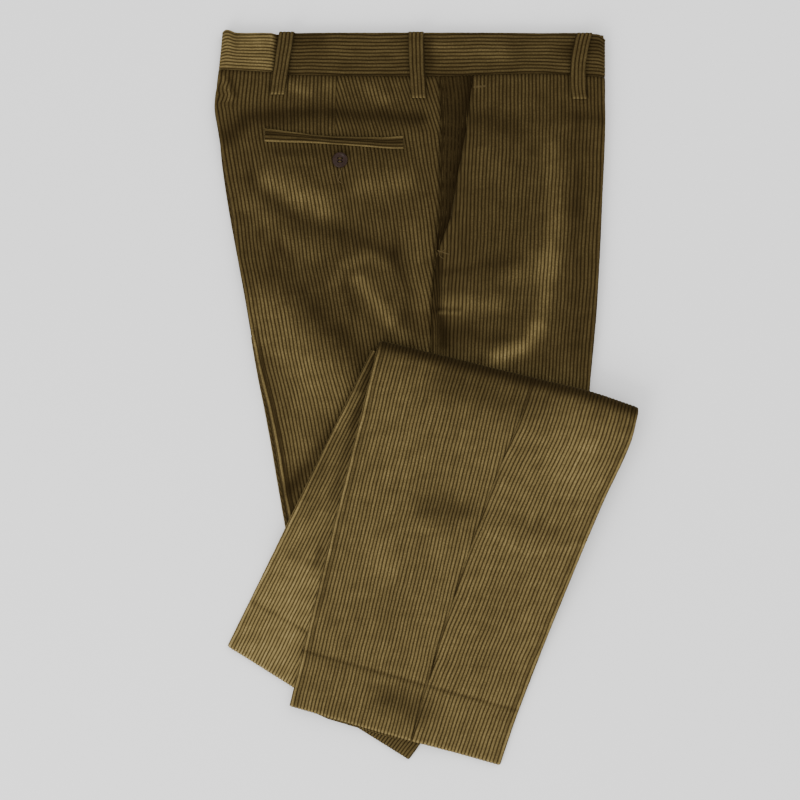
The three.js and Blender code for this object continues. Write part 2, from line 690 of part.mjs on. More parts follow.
// Corners that a join leaves closer than WELD become one, and faces that vanish with them go. A face
// thinner than NEEDLE gives its long side to the face beyond it.
const WELD = 0.03;
const NEEDLE = 0.02;
const PASSES = 12;
function withoutSlivers(geometry) {
  const merged = mergeVertices(geometry, WELD);
  const place = merged.getAttribute("position");
  const corner = (i) => new THREE.Vector3().fromBufferAttribute(place, i);
  const index = merged.getIndex().array;
  let faces = [];
  for (let i = 0; i < index.length; i += 3) faces.push([index[i], index[i + 1], index[i + 2]]);
  faces = faces.filter(([a, b, c]) => a !== b && b !== c && a !== c);
  for (let pass = 0; pass < PASSES; pass += 1) {
    const beyond = new Map();
    faces.forEach((f, n) => f.forEach((v, k) => beyond.set(`${v} ${f[(k + 1) % 3]}`, n)));
    const used = new Set();
    faces.forEach((f, n) => {
      const sides = f.map((v, k) => corner(v).distanceTo(corner(f[(k + 1) % 3])));
      const k = sides.indexOf(Math.max(...sides));
      const [a, b, c] = [f[k], f[(k + 1) % 3], f[(k + 2) % 3]];
      const area = corner(b).sub(corner(a)).cross(corner(c).sub(corner(a))).length();
      const other = beyond.get(`${b} ${a}`);
      if (area / sides[k] > NEEDLE || used.has(n) || used.has(other)) return;
      const d = faces[other].find((v) => v !== a && v !== b);
      if (beyond.has(`${c} ${d}`) || beyond.has(`${d} ${c}`)) return;
      for (const m of [n, other, ...[[b, c], [c, a]].map(([p, q]) => beyond.get(`${q} ${p}`))]) used.add(m);
      faces[n] = [a, d, c];
      faces[other] = [d, b, c];
    });
  }
  merged.setIndex(faces.flat());
  return merged;
}

function fromManifold(shape) {
  const mesh = shape.getMesh();
  const geometry = new THREE.BufferGeometry();
  geometry.setAttribute("position", new THREE.BufferAttribute(new Float32Array(mesh.vertProperties), 3));
  geometry.setIndex(new THREE.BufferAttribute(new Uint32Array(mesh.triVerts), 1));
  return withoutSlivers(geometry);
}

// Button of the back pocket, dished, with a rim and four holes.
const BUTTON_PROFILE = [
  { r: 0, z: 0 },
  { r: 6.2, z: 0 },
  { r: 7.5, z: 0.8 },
  { r: BUTTON_RADIUS, z: 1.7 },
  { r: 7.2, z: 2.7 },
  { r: 6.5, z: BUTTON_THICK },
  { r: 5.6, z: 2.6 },
  { r: 4.4, z: 2 },
  { r: 0, z: 1.8 },
];
const BUTTON_SIDES = 28;
const buttonBase = UPPER_TOP + BUTTON_LIFT + WALE_RISE + GAP;
let button = toManifold(
  new THREE.LatheGeometry(
    BUTTON_PROFILE.map((q) => new THREE.Vector2(q.r, q.z)),
    BUTTON_SIDES,
  ).rotateX(QUARTER_TURN),
);
for (const [sx, sy] of [
  [1, 1],
  [-1, 1],
  [-1, -1],
  [1, -1],
]) {
  const { radius, length, sides } = BUTTON_HOLE;
  const hole = new THREE.CylinderGeometry(radius, radius, length, sides);
  hole.rotateX(QUARTER_TURN).translate(sx * BUTTON_HOLE.reach, sy * BUTTON_HOLE.reach, 0);
  button = button.subtract(toManifold(hole));
}
piece(
  "back_pocket_button",
  fromManifold(button).translate(BUTTON_AT.x, BUTTON_AT.y, buttonBase),
  COLOURS.button,
  0.4,
);

// The hidden layers: slabs whose sides are notched between the layers of cloth, joined into one solid.
const NOTCH = 1.2;
const SLAB_POINTS = 7;
function slabRing([x0, y0], [x1, y1], top, bottom, layers) {
  const size = Math.hypot(x1 - x0, y1 - y0);
  const at = (d, level) => {
    const [x, y] = [x0 + ((x1 - x0) * d) / size, y0 + ((y1 - y0) * d) / size];
    const low = bottom(x, y);
    return new THREE.Vector3(x, y, low + (Math.max(top(x, y), low + GAP) - low) * level);
  };
  const ring = [];
  const inner = (i) => NOTCH + ((size - 2 * NOTCH) * i) / (SLAB_POINTS - 1);
  for (let i = 0; i < SLAB_POINTS; i += 1) ring.push(at(inner(i), 1));
  for (let k = 2 * layers - 1; k > 0; k -= 1) ring.push(at(size - (k % 2 ? 0 : NOTCH), k / (2 * layers)));
  for (let i = SLAB_POINTS - 1; i >= 0; i -= 1) ring.push(at(inner(i), 0));
  for (let k = 1; k < 2 * layers; k += 1) ring.push(at(k % 2 ? 0 : NOTCH, k / (2 * layers)));
  return ring;
}

const side = (q, [first, second]) =>
  Math.sign((q.x - first.x) * (second.x - first.x) + (q.y - first.y) * (second.y - first.y));

function loft(rings) {
  const faces = [];
  const n = rings[0].length;
  for (let r = 0; r < rings.length - 1; r += 1) {
    for (let i = 0; i < n; i += 1) {
      const [a, b] = [rings[r][i], rings[r][(i + 1) % n]];
      const [c, d] = [rings[r + 1][(i + 1) % n], rings[r + 1][i]];
      faces.push([a, b, c], [a, c, d]);
    }
  }
  for (const ring of [rings[0], rings.at(-1)]) {
    const run = (q) => Math.hypot(q.x - ring[0].x, q.y - ring[0].y) * side(q, ring);
    const outline = ring.map((q) => new THREE.Vector2(run(q), q.z));
    for (const corners of THREE.ShapeUtils.triangulateShape(outline, [])) {
      const [i, j, k] = [...corners].sort((p, q) => p - q);
      faces.push(ring === rings[0] ? [ring[i], ring[k], ring[j]] : [ring[i], ring[j], ring[k]]);
    }
  }
  return toManifold(solid(faces));
}

const steps = (from, to, count) => Array.from({ length: count + 1 }, (_, i) => from + ((to - from) * i) / count);
const level = (value) => () => value;
const EDGE_ROOM = CREASE_DEPTH + 3 * GAP;
const CORE_ROOM = EDGE_ROOM + 2;
const BODY_HIGH = 361;
const BODY_LOW = -179;
const CORE_TOP = 6.1;
const SLAB_ROWS = { leftLeg: 6, core: 14, middle: 6, under: 16, beside: 12, top: 18 };
const leftSide = (y) => {
  const peeking = y < PEEK.high + GAP - HAIR / 2 && y > PEEK.low - GAP + HAIR / 2;
  return leftLegX(y) + (peeking ? PEEK.reach + 2 * GAP : 0);
};
const leftLegRows = [
  ...steps(BODY_HIGH, PEEK.high + GAP, SLAB_ROWS.leftLeg),
  ...steps(PEEK.high + GAP - HAIR, PEEK.low - GAP + HAIR, SLAB_ROWS.leftLeg),
  ...steps(PEEK.low - GAP, BODY_LOW, 1),
];
const bodyParts = [];
bodyParts.push(
  loft(
    leftLegRows.map((y) =>
      slabRing([leftSide(y), y], [frontX(y) + (y < 0 ? 0 : -HAIR), y], level(LEFT_LEG_TOP), level(0), 2),
    ),
  ),
);
bodyParts.push(
  loft(
    steps(BODY_HIGH - 1, BODY_LOW, SLAB_ROWS.core).map((y) =>
      slabRing(
        [seatX(y) + CORE_ROOM, y],
        [frontX(y) - CORE_ROOM, y],
        level(CORE_TOP),
        level(LEFT_LEG_TOP - HAIR),
        1,
      ),
    ),
  ),
);

// Below the upper panels' covered ends the stack is full.
const FULL = { inset: 5, cornerX: -128, cornerY: -153, pastEdge: 6, frontY: -14 };
const fullEdgeX = LEG_EDGE_LINE.x + FULL.pastEdge;
const fullPlan = new THREE.Shape(
  [
    [seatX(FULL.cornerY) + FULL.inset, FULL.cornerY],
    [FULL.cornerX, FULL.cornerY],
    [LEG_EDGE_LINE.x, LEG_EDGE_LINE.y - UNDER_FOLD - FULL.inset - 1],
    [fullEdgeX, foldY(fullEdgeX) - UNDER_FOLD - FULL.inset],
    [frontX(FULL.frontY) - FULL.inset, foldY(frontX(FULL.frontY)) - UNDER_FOLD - FULL.inset - 1],
    [frontX(BODY_LOW) - FULL.inset, BODY_LOW],
    [seatX(BODY_LOW) + FULL.inset, BODY_LOW],
  ].map(([x, y]) => new THREE.Vector2(x, y)),
);
const full = new THREE.ExtrudeGeometry(fullPlan, { depth: MIDDLE_BOTTOM + HAIR, bevelEnabled: false });
bodyParts.push(toManifold(full));

// Middle stretch, hidden between the folds.
const MIDDLE_LEFT = { x0: -49, y0: 46, x1: -126, y1: -178 };
const MIDDLE_RIGHT = { x0: 203, y0: -21, x1: 140, y1: -178 };
const MIDDLE_SAG = { depth: 3.6, from: -130, reach: 45 };
const middleTop = (x, y) => MIDDLE_TOP - MIDDLE_SAG.depth * smooth((MIDDLE_SAG.from - y) / MIDDLE_SAG.reach);
const between = (edge, t) => [edge.x0 + (edge.x1 - edge.x0) * t, edge.y0 + (edge.y1 - edge.y0) * t];
bodyParts.push(
  loft(
    steps(0, 1, SLAB_ROWS.middle).map((t) =>
      slabRing(between(MIDDLE_LEFT, t), between(MIDDLE_RIGHT, t), middleTop, level(MIDDLE_BOTTOM), 2),
    ),
  ),
);

// Lower stretch: what lies under the left leg's panel, beside it, and under the top leg.
const FIRST_FOLD = { y: -172, reach: 14 };
const grounded = (y) => smooth((FIRST_FOLD.y - y) / FIRST_FOLD.reach);
const SKIN = CLOTH + GAP;
const FOLD_ROOM = 1;
const TOP_ROOM = 3.4;
const BESIDE_ROOM = 2.6;
const JOINED = 4.9;
const LAPPED = 1.2;
const BEND = { low: -270, in: 40, high: -110, out: 30, room: 2 };
const UNDER_LAP = 2;
const BESIDE_LAP = 1;
const UNDER_END = 0.992;
const TOP_END = 0.93;
const bending = (y) => smooth((y - BEND.low) / BEND.in) * smooth((BEND.high - y) / BEND.out);
const legUnder = (x, y) => leftLegHeight(x, y) - SKIN - FOLD_ROOM - BEND.room * bending(y);
const topOver = (x, y) => {
  const { along, outside } = overRightLeg(x, y);
  return rightLegHeight(along, Math.max(0, -outside) / rightLeg.width(along));
};
const legBottom = (x, y) => (leftLegHeight(x, y) - JOINED) * (1 - grounded(y));
const leftRow = (a, from, to) => [
  leftLeg.place(a, from / leftLeg.width(a)),
  leftLeg.place(a, to / leftLeg.width(a)),
];
bodyParts.push(
  loft(
    steps(LEFT_START, UNDER_END, SLAB_ROWS.under).map((a) =>
      slabRing(...leftRow(a, EDGE_ROOM, leftSeam(a) + UNDER_LAP), legUnder, legBottom, 2),
    ),
  ),
);
bodyParts.push(
  loft(
    steps(LEFT_START, BESIDE_END, SLAB_ROWS.beside).map((a) =>
      slabRing(
        ...leftRow(a, leftSeam(a) + BESIDE_LAP, leftLeg.width(a) - BESIDE_LAP),
        (x, y) => topOver(x, y) - BESIDE_ROOM - bending(y),
        (x, y) => (MIDDLE_TOP - LAPPED) * (1 - grounded(y)),
        2,
      ),
    ),
  ),
);
const TOP_START = (FOLD_DEPTH + FOLD_ROOM) / RIGHT_LEG_LENGTH;
const rightRow = (a) => {
  const width = rightLeg.width(a);
  return [rightLeg.place(a, EDGE_ROOM / width), rightLeg.place(a, 1 - CORE_ROOM / width)];
};
bodyParts.push(
  loft(
    steps(TOP_START, TOP_END, SLAB_ROWS.top).map((a) => {
      const bottom = (x, y) => Math.max(0, topOver(x, y) - JOINED - GAP);
      return slabRing(...rightRow(a), (x, y) => topOver(x, y) - TOP_ROOM, bottom, 1);
    }),
  ),
);

const joined = wasm.Manifold.union(bodyParts).decompose();
const stack = joined.reduce((best, shape) => (shape.volume() > best.volume() ? shape : best));
piece("hidden_layers", fromManifold(stack), COLOURS.shade);

export default new THREE.Group().add(...parts);
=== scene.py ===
"""Corduroy trousers, laid on their side and folded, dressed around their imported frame."""

import math

import bmesh
import bpy
import numpy as np
from bpy.props import FloatProperty, FloatVectorProperty, IntProperty, PointerProperty
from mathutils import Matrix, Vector


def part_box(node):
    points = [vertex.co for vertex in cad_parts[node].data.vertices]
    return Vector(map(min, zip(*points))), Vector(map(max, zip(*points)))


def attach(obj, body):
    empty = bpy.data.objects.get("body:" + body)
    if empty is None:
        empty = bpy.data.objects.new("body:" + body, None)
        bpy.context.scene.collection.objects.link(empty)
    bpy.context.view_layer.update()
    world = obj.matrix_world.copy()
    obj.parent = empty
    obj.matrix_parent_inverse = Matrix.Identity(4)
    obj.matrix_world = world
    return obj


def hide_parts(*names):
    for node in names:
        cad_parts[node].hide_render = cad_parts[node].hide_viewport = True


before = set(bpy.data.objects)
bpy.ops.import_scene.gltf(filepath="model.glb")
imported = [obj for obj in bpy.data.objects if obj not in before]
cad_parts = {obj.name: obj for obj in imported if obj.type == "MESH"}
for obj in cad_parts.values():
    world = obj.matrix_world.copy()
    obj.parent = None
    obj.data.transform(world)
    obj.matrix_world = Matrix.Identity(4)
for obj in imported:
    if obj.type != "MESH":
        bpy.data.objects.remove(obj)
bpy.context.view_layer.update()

bl_info = {
    "name": "Folded corduroy trousers",
    "version": (1, 0, 0),
    "blender": (4, 5, 0),
    "location": "View3D > Sidebar > Trousers",
    "description": "Corduroy trousers laid on their side and folded, with their stage",
    "category": "Object",
}

# Sizes are millimetres in the frame's own axes: x across the waistband, y from the hems to the waistband.
MM = 0.001
QUARTER = math.pi / 2
DEGREES = 57.3
LEG_HALF = 2.55
CREASE_DEPTH = 3.5
UPPER_TOP = 10.0
BAND_TOP = 9.6
BAND_HALF = 2.3
LEFT_LEG_TOP = 4.6
LEFT_HALF = 1.65
FOLD_DEPTH = 9.0
FOLD_HALF = 7.6
LAYER_DROP = 6.7
LEG_LENGTH = 374.0
HALVINGS = 30
CLOTH = 1.2
GAP = 0.3
CALM = 9.0
FINE = 8
TURN_COLUMNS = 22
TURN_LENGTH = 9.6
TUBE_TURN = 3.2
KEEP = 16
SHARP = 55.0
NOISE_SCALE = 160.0
PANEL_END = -150.0
UNDER_FOLD = 22.0
BELOW_BAND = 320.0
# Least share of its lightness that painted shade along a fold leaves to the cloth.
LEAST_PAINTED_LIGHT = 0.12
LEAST_AREA = 0.31
NARROWEST = 0.0101
WAIST_DITCH = 2.4
DART_WIDTH = 115.0
FRONT_WIDEST = 92.0
PULLED_FROM = 130.0
FACING_UNDER = 2.0
FACING_END = 126.0
FACING_LOW = 2.3
OUTSEAM_ROOM = 0.12
HEM_ROUND = 2.2
LEFT_START = 0.012
CORNER_FROM = 0.862
CORNER_TOP = 5.2
CORNER_WIDTH = 64.0
BAND_DEPTH = 42.0
BAND_ROLL = 1.8
LOOP_WIDTH = 15.0
LOOP_TOP = 13.0
WELT_TOP = 12.3
WELT_WIDTH = 5.0
CREST_FULLNESS = 0.9
# Painted highlight on the wales' crests and painted shade in their grooves: a scale and an offset of the crest
# mask.
CREST_PAINTED_LIGHT = 1.55
GROOVE_PAINTED_SHADE = -0.02
PILE_LIGHT = 2.0
STREAK_LIGHT = 0.9
PATCH_LIGHT = 0.7
# Lightness at which the cloth has its colour of painted soft shade and its colour of brightest painted highlight;
# its lit colour is at 1.
DEEP = 0.15
BRIGHTEST = 1.7

# How light each piece is, from 0, dark, to 1, light: partly how its nap lies, partly painted light and shade, as
# the painted shade on the pocket's facing and the painted light on the left leg's edge and on the waistband's left
# end.
NAP_AND_PAINTED_LIGHT = {
    "back": 0.185, "front": 0.172, "facing": 0.05, "left_edge": 0.5, "leg_back": 0.37,
    "leg_front": 0.425, "left_leg": 0.59, "leg_under": 0.3, "corner": 0.25, "band": 0.175,
    "band_left": 0.42, "loop": 0.195, "welt": 0.15, "layers": 0.15,
}


def table(names, *rows):
    """A table with named columns."""
    return dict(zip(names.split(), np.array(rows, float).T))


SEAT_EDGE = table(
    "x y",
    (-207, 330), (-209, 313), (-211.5, 291), (-208, 268), (-202.6, 235), (-194.2, 187),
    (-188, 139), (-179, 91), (-168, 29), (-156, -19), (-141, -103), (-126, -179),
)
LEFT_LEG_EDGE = table(
    "x y",
    (-209, 330), (-205, 235), (-180.5, 91), (-169.5, 27), (-157, -37), (-146, -101),
    (-137, -150), (-130, -179),
)
FRONT_EDGE = table(
    "x y",
    (179, 330), (179, 297), (179.3, 273), (175.8, 187), (170.8, 91), (163.8, 11), (149, -179),
)
SIDE_SEAM = table(
    "x y",
    (11, 326), (14, 299), (15, 280), (13.5, 243), (13, 192), (10, 160), (7, 115), (5, 61), (5, 0),
)
POCKET_EDGE = table(
    "x y",
    (48, 326), (45, 303), (38, 254), (31, 218), (27, 187), (20, 167), (12, 144), (7.5, 120),
)
BAND_SHAPE = table(
    "x top bottom",
    (-207, 361, 328), (-200, 367.5, 328), (-190, 364.5, 327.5), (-156, 364, 325.5),
    (-148, 362.5, 324), (-130, 364, 322.5), (10, 364.5, 321.5), (114, 364, 324),
    (172, 363, 321), (179, 358, 320),
)
RIGHT_LEG_BACK = table("along x y", (0, -46, 56), (1, -136, -309))
RIGHT_LEG_FRONT = table(
    "along x y",
    (0, 212, -11), (0.1, 203, -46), (0.28, 175, -107), (0.52, 138.5, -195), (0.86, 91, -319),
    (1, 74, -369),
)
OUTSEAM = table("along share", (0, 0.593), (0.13, 0.577), (0.39, 0.565), (0.7, 0.566), (1, 0.577))
FOLD_BOW = table("share bow", (0, 0), (0.6, 2.5), (0.82, 3.5), (1, 0))
LEFT_LEG_BACK = table("along x y", (0, -52, 50), (0.62, -141, -133), (1, -198.5, -250))
LEFT_LEG_FRONT = table("along x y", (0, 200, -16), (0.95, -5, -346), (1, -17.5, -363.5))
LEFT_LEG_SEAM = table("along width", (0, 24), (0.5, 62), (1, 106))
LEG_HEIGHT = table(
    "along back middle low front",
    (0, 27, 27, 27, 24.5), (0.3, 27, 27, 26, 23.5), (0.47, 27, 27, 25.5, 21.5),
    (0.645, 26, 24.5, 19, 13), (0.75, 17.5, 16.5, 12, 8), (0.88, 12.8, 12.6, 8, 6),
    (1, 11.8, 11.7, 6.5, 5.6),
)
HEIGHT_SHARES = (("back", 0.0), ("middle", 0.63), ("low", 0.84), ("front", 1.0))
LEFT_LEG_SINK = table(
    "along sink",
    (0, 0.6), (0.2, 3), (0.35, 3.6), (0.5, 3.8), (0.56, 4.2), (0.6, 8), (0.645, 11.3),
    (0.75, 5.4), (0.88, 1), (1, 0),
)
SINK_REACH = 22.0
SINK_MOST = 22.0
SINK_PER = 34.0
MIDDLE_EDGES = {"left": ((-49, 46), (-126, -178)), "right": ((203, -21), (140, -178))}
FOLD_LINE = {"x": 6.0, "y": 46.0, "fall": 0.243}
LEG_EDGE_LINE = {"x": -52.0, "y": 50.0, "rise": 2.056}

# Soft ridges and troughs: a line, its half width, its height, and how much the cloth on it brightens or darkens,
# which is painted light on slopes towards the key lamp, painted shade on slopes away from it, and painted shadow
# beside the legs' edges.
UPPER_FOLDS = table(
    "x0 y0 x1 y1 wide rise nap",
    (-156, 215, -101, 190, 11, 0.9, 1.1),
    (-66, 210, -21, 215, 9, 0.6, 0.7),
    (-176, 190, -116, 142, 9, 0.5, 0.4),
    (-91, 117, -81, 132, 6, 0.4, 0.4),
    (-81, 132, -56, 142, 6, 0.6, 0.6),
    (-56, 142, -41, 132, 6, 0.4, 0.4),
    (-66, 117, -36, 77, 8, 0.8, 1.0),
    (-36, 77, -24, 60, 8, 0.6, 0.5),
    (-161, 77, -126, 37, 26, 0.8, 1.0),
    (-126, 37, -86, 5, 24, 0.6, 0.8),
    (-122, 5, -124, -50, 28, 0.1, 0.75),
    (-11, 172, -6, 97, 12, 0.3, 0.35),
    (-136, 312, -121, 305, 5, 0.4, 0.6),
    (-97, 311, -90, 308, 6, 0.3, 0.5),
    (-58, 306, -42, 299, 6, 0.4, 0.6),
    (-203, 318, -196, 300, 3, 0.6, 0.5),
    (-197, 320, -190, 302, 3, -0.6, -0.5),
    (-198, 262, -176, 280, 10, -0.5, -0.55),
    (-176, 280, -106, 285, 10, -0.6, -0.6),
    (-106, 285, -6, 279, 9, -0.7, -0.6),
    (-156, 247, -26, 244, 6, -0.3, -0.3),
    (-176, 217, -126, 175, 8, -0.4, -0.35),
    (-126, 175, -91, 165, 10, -0.5, -0.32),
    (-91, 165, -34, 145, 11, -0.8, -0.36),
    (-31, 142, -16, 107, 7, -0.4, -0.35),
    (-16, 107, -21, 77, 7, -0.4, -0.35),
    (-149, 152, -147, 148, 7, -0.3, -0.35),
    (-151, 127, -122, 102, 14, -0.4, -0.35),
    (-111, 85, -81, 57, 12, -0.9, -0.5),
    (-81, 57, -59, 31, 12, -0.9, -0.4),
    (-81, 112, -71, 87, 6, -0.4, -0.3),
    (-136, -93, -96, -38, 7, -0.2, -0.6),
    (-96, -38, -61, 25, 6, -0.2, -0.4),
    (49, 279, 89, 272, 11, -0.4, -0.4),
    (134, 285, 174, 280, 8, -0.3, -0.35),
    (124, 247, 130, 177, 9, 0.4, 0.6),
    (130, 177, 114, 72, 9, 0.5, 0.9),
    (114, 72, 99, 51, 8, 0.7, 1.7),
    (99, 51, 71, 40, 8, 0.9, 1.9),
    (55, 235, 63, 229, 14, 0.2, 0.25),
    (95, 122, 119, 132, 16, 0.4, 0.6),
    (24, 92, 69, 93, 9, 0.5, 1.0),
    (19, 125, 54, 131, 5, -0.5, -0.35),
    (54, 131, 92, 137, 8, -0.6, -0.35),
    (24, 65, 82, 57, 8, -0.8, -0.3),
    (151, 277, 151, 52, 8, -0.2, -0.2),
    (151, 196, 151, 188, 8, -0.3, -0.3),
    (12, 139, 11, 87, 4.5, -1.0, -0.75),
    (14, 77, 18, 52, 8, -0.9, -0.65),
    (14, 88, 34, 87.5, 2, -0.6, -0.5),
    (14, 84.5, 34, 84, 1.6, 0.5, 0.9),
)
LOWER_FOLDS = table(
    "x0 y0 x1 y1 wide rise nap",
    (-26, -48, -22, -60, 16, 0.4, 0.15),
    (-46, -153, -42, -165, 18, 0.5, 0.25),
    (154, -53, 146, -75, 24, 0.8, 0.3),
    (4, -108, 34, -115, 16, -0.7, -0.45),
    (24, 12, 99, -8, 24, 0.0, -0.4),
    (-81, -43, -84, -60, 10, -0.3, -0.2),
    (54, -131, 99, -155, 3, 0.5, 0.2),
    (99, -155, 156, -148, 3, 0.5, 0.25),
    (74, -121, 134, -137, 9, -0.4, -0.2),
    (-26, -130, 34, -134, 3, 0.4, 0.15),
    (-36, -303, -6, -315, 16, -0.5, -0.45),
    (-104, -163, -110, -203, 8, -0.3, -0.3),
    (74, -203, 60, -250, 20, -0.2, -0.12),
    (-60, -210, -20, -222, 12, -0.3, -0.15),
)
LEFT_FOLDS = table(
    "x0 y0 x1 y1 wide rise nap",
    (-52, 39, -74, -33, 4, -0.3, -0.5),
    (-74, -33, -93, -103, 4, -0.2, -0.3),
    (-93, -103, -108, -165, 4, -0.2, -0.15),
    (-103, -73, -116, -113, 13, -0.4, -0.25),
    (-106, -154, -108, -164, 8, -0.6, -0.3),
    (-124, -147, -130, -155, 10, -0.5, -0.3),
    (-88, -31, -68, 2, 4, 0.2, 0.7),
    (-159, -250, -150, -240, 25, 0.4, 0.1),
)
BAND_FOLDS = table(
    "x0 y0 x1 y1 wide rise nap",
    (-155, 368, -153, 354, 3, 1.0, 0.3),
    (-149, 368, -149, 320, 3.2, -0.9, -0.5),
    (-200, 362, -196, 340, 4, 0.5, 0.15),
    (-190, 364, -190, 350, 3, -0.4, -0.2),
    (-176, 366, -166, 352, 4, 0.4, 0.2),
    (-141, 359, -106, 359, 7, -0.2, -0.35),
    (-96, 345, -31, 347, 8, 0.3, 0.25),
    (3, 357, 4, 327, 5, -0.3, -0.4),
    (14, 349, 74, 345, 9, 0.4, 0.45),
    (108, 347, 120, 347, 9, 0.2, 0.2),
    (146, 347, 172, 352, 9, -0.3, -0.4),
)


def curve(rows, at, of):
    """A smooth curve through a table: gives column `of` for any value of column `at`."""
    order = np.argsort(rows[at])
    known, value = rows[at][order], rows[of][order]
    before = np.maximum(np.arange(len(known)) - 1, 0)
    after = np.minimum(np.arange(len(known)) + 1, len(known) - 1)
    slope = (value[after] - value[before]) / (known[after] - known[before])

    def at_value(q):
        q = np.asarray(q, float)
        i = np.clip(np.searchsorted(known, q) - 1, 0, len(known) - 2)
        span = known[i + 1] - known[i]
        t = np.clip((q - known[i]) / span, 0, 1)
        t2, t3 = t * t, t * t * t
        inside = (2 * t3 - 3 * t2 + 1) * value[i] + (t3 - 2 * t2 + t) * slope[i] * span
        inside = inside + (3 * t2 - 2 * t3) * value[i + 1] + (t3 - t2) * slope[i + 1] * span
        below = np.minimum(q - known[0], 0) * slope[0]
        above = np.maximum(q - known[-1], 0) * slope[-1]
        return inside + below + above

    return at_value


def smooth(t):
    """0 to 1, with soft ends."""
    q = np.clip(t, 0, 1)
    return q * q * (3 - 2 * q)


def bump(distance, wide):
    """A soft bump, 1 at no distance."""
    return np.exp(-((distance / wide) ** 2))


def folds(rows, of, x, y):
    """Sum of a column of a table of soft folds at a place. A row that starts where the last one ends carries
    its fold on."""
    total = strongest = np.zeros(np.broadcast(x, y).shape)
    ends = None
    for x0, y0, x1, y1, wide, value in zip(*(rows[name] for name in ("x0", "y0", "x1", "y1", "wide", of))):
        dx, dy = x1 - x0, y1 - y0
        t = np.clip(((x - x0) * dx + (y - y0) * dy) / (dx * dx + dy * dy), 0, 1)
        here = value * bump(np.hypot(x - x0 - t * dx, y - y0 - t * dy), wide)
        if ends != (x0, y0):
            total, strongest = total + strongest, 0 * here
        strongest = np.where(np.abs(here) > np.abs(strongest), here, strongest)
        ends = (x1, y1)
    return total + strongest


seat_x = curve(SEAT_EDGE, "y", "x")
left_leg_x = curve(LEFT_LEG_EDGE, "y", "x")
front_x = curve(FRONT_EDGE, "y", "x")
seam_x = curve(SIDE_SEAM, "y", "x")
pocket_x = curve(POCKET_EDGE, "y", "x")
band_top = curve(BAND_SHAPE, "x", "top")
band_bottom = curve(BAND_SHAPE, "x", "bottom")
outseam_share = curve(OUTSEAM, "along", "share")
fold_bow = curve(FOLD_BOW, "share", "bow")
left_seam = curve(LEFT_LEG_SEAM, "along", "width")
sink_depth = curve(LEFT_LEG_SINK, "along", "sink")
leg_rises = [(share, curve(LEG_HEIGHT, "along", side)) for side, share in HEIGHT_SHARES]


def fold_y(x):
    return FOLD_LINE["y"] - FOLD_LINE["fall"] * (x - FOLD_LINE["x"])


def leg_edge_y(x):
    return LEG_EDGE_LINE["y"] + LEG_EDGE_LINE["rise"] * (x - LEG_EDGE_LINE["x"])


def wander(x, y):
    """How far, in wales, the rows of pile stray from their straight course."""
    slow = np.sin(x / 17 + 2.1 * np.sin(y / 41)) * np.sin(y / 23 + 1.3 * np.sin(x / 37))
    bunched = 0.4 * np.sin(y / 2.7) * bump(np.hypot(x + 202, (y - 304) / 1.8), 8)
    return 0.16 * slow + 0.05 * np.sin(x / 5.3 + y / 9.1) * np.sin(y / 6.7 - x / 13) + bunched


class LegPlan:
    """A leg seen from above: `along` is 0 at the fold and 1 at the hem, `share` 0 at the back crease."""

    def __init__(self, back, front):
        self.bx, self.by = curve(back, "along", "x"), curve(back, "along", "y")
        self.fx, self.fy = curve(front, "along", "x"), curve(front, "along", "y")

    def width(self, a):
        return np.hypot(self.fx(a) - self.bx(a), self.fy(a) - self.by(a))

    def place(self, a, share):
        x = self.bx(a) + (self.fx(a) - self.bx(a)) * share
        return x, self.by(a) + (self.fy(a) - self.by(a)) * share


RIGHT_LEG = LegPlan(RIGHT_LEG_BACK, RIGHT_LEG_FRONT)
LEFT_LEG = LegPlan(LEFT_LEG_BACK, LEFT_LEG_FRONT)


def right_leg_height(along, share):
    """Height of the top leg's cloth."""
    a, s = np.clip(along, 0, 1), np.clip(share, 0, 1)
    height = leg_rises[0][1](a) + 0 * s
    for (low, rise), (high, next_rise) in zip(leg_rises, leg_rises[1:]):
        t = smooth((s - low) / (high - low))
        height = np.where(s > low, rise(a) + (next_rise(a) - rise(a)) * t, height)
    return height


def over_right_leg(x, y):
    """Where a place lies on the top leg: its `along`, and how far outside the back crease it is."""
    near, off = np.zeros(np.shape(x)), np.ones(np.shape(x))
    for _ in range(HALVINGS):
        half = (near + off) / 2
        (x0, y0), (x1, y1) = RIGHT_LEG.place(half, 0), RIGHT_LEG.place(half, 1)
        before = (x1 - x0) * (y - y0) - (y1 - y0) * (x - x0) < 0
        near, off = np.where(before, half, near), np.where(before, off, half)
    (x0, y0), (x1, y1) = RIGHT_LEG.place(near, 0), RIGHT_LEG.place(near, 1)
    size = np.hypot(x1 - x0, y1 - y0)
    return near, -((x - x0) * (x1 - x0) + (y - y0) * (y1 - y0)) / size


def left_leg_height(x, y):
    """Height of the lower leg's cloth, which sinks beside the stack."""
    along, outside = over_right_leg(x, y)
    share = np.maximum(0, -outside) / RIGHT_LEG.width(along)
    start = np.minimum(SINK_MOST, SINK_PER * along)
    sunk = sink_depth(along) * smooth((outside - start) / SINK_REACH)
    return right_leg_height(along, share) - LAYER_DROP - sunk


def upper_height(x, y):
    """Height of the upper stretch's cloth."""
    inward = smooth((x - seat_x(y)) / CALM) * smooth((front_x(y) - x) / CALM)
    calm = inward * smooth((band_bottom(x) - y) / CALM)
    return UPPER_TOP + folds(UPPER_FOLDS, "rise", x, y) * calm


def crease_down(turn, half=LEG_HALF):
    """How far below the top the cloth is on the turn round a crease."""
    return half * (np.sin(np.minimum(turn, QUARTER)) - 1)


